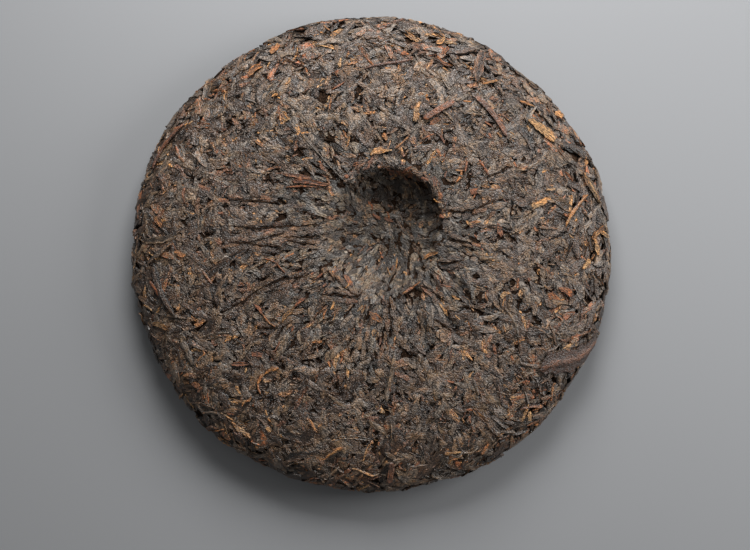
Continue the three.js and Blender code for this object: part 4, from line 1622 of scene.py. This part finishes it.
class TEACAKE_OT_stage(bpy.types.Operator):
    """Makes the plain floor, the soft lights and the camera"""

    bl_idname = "tea_cake.stage"
    bl_label = "Stage"

    def execute(self, context):
        scene = context.scene
        settings = scene.tea_cake_stage
        colours = scene.tea_cake_colours
        corners = [(x * FLOOR_HALF, y * FLOOR_HALF, 0) for x, y in ((-1, -1), (1, -1), (1, 1), (-1, 1))]
        floor = mesh_piece("floor", corners, [(0, 1, 2, 3)])
        # Matt paint of the floor: plain, pale and a little cool.
        paint, _, shader = new_material("pale_floor_paint")
        shader.inputs["Base Color"].default_value = linear(colours.floor)
        shader.inputs["Roughness"].default_value = 0.9
        floor.data.materials.append(paint)

        low, high = CAD_BOX
        middle = Vector(((low.x + high.x) / 2, (low.y + high.y) / 2, (low.z + high.z) / 2))
        pixel = (high.x - low.x) / OUTLINE_ACROSS
        width, height = PHOTO_SIZE
        right = (width / 2 - OUTLINE_CENTRE[0]) * pixel
        down = (height / 2 - OUTLINE_CENTRE[1]) * pixel
        back = Vector((0, -math.cos(settings.elevation), math.sin(settings.elevation)))
        upward = Vector((0, math.sin(settings.elevation), math.cos(settings.elevation)))
        target = middle + Vector((right, 0, 0)) - upward * down
        lens = bpy.data.cameras.new("camera")
        lens.lens = settings.lens
        lens.sensor_width = SENSOR_WIDTH
        distance = width * pixel * settings.lens / lens.sensor_width
        camera = bpy.data.objects.new("camera", lens)
        camera.location = target + back * distance
        camera.rotation_mode = "QUATERNION"
        camera.rotation_quaternion = back.to_track_quat("Z", "Y")
        scene.collection.objects.link(camera)
        scene.camera = camera

        softbox("key_softbox", middle, KEY_SOFTBOX, settings.key_power)
        softbox("side_softbox", middle, SIDE_SOFTBOX, settings.fill_power)
        sky = bpy.data.worlds.new("even_sky")
        sky.use_nodes = True
        background = sky.node_tree.nodes["Background"]
        background.inputs["Color"].default_value = SKY_COLOUR
        background.inputs["Strength"].default_value = settings.sky
        scene.world = sky
        scene.view_settings.view_transform = "Standard"
        return {"FINISHED"}


OPERATORS = (
    TEACAKE_OT_stage,
    TEACAKE_OT_core,
    TEACAKE_OT_face_leaves,
    TEACAKE_OT_rim_leaves,
    TEACAKE_OT_large_leaves,
    TEACAKE_OT_edges,
    TEACAKE_OT_noted_pieces,
    TEACAKE_OT_underside_leaves,
)
GROUPS = {
    "tea_cake_sizes": TeaCakeSizes,
    "tea_cake_colours": TeaCakeColours,
    "tea_cake_stage": TeaCakeStage,
}


class TEACAKE_PT_panel(bpy.types.Panel):
    """Lists the steps that build the cake"""

    bl_label = "Tea Cake"
    bl_idname = "TEACAKE_PT_panel"
    bl_space_type = "VIEW_3D"
    bl_region_type = "UI"
    bl_category = "Tea Cake"

    def draw(self, context):
        for operator in OPERATORS:
            self.layout.operator(operator.bl_idname)
        for name in GROUPS:
            group = getattr(context.scene, name)
            for setting in group.bl_rna.properties:
                if setting.identifier not in ("rna_type", "name"):
                    self.layout.prop(group, setting.identifier)


def register():
    for name, group in GROUPS.items():
        bpy.utils.register_class(group)
        setattr(bpy.types.Scene, name, bpy.props.PointerProperty(type=group))
    for item in (*OPERATORS, TEACAKE_PT_panel):
        bpy.utils.register_class(item)


def unregister():
    for item in (TEACAKE_PT_panel, *reversed(OPERATORS)):
        bpy.utils.unregister_class(item)
    for name, group in reversed(GROUPS.items()):
        delattr(bpy.types.Scene, name)
        bpy.utils.unregister_class(group)


def main():
    register()
    for operator in OPERATORS:
        family, step = operator.bl_idname.split(".")
        getattr(getattr(bpy.ops, family), step)()
    # The shapes that the scatter picked from have done their work.
    for collection in list(bpy.data.collections):
        for shape in list(collection.objects):
            bpy.data.objects.remove(shape)
        bpy.data.collections.remove(collection)


if __name__ == "__main__":
    main()
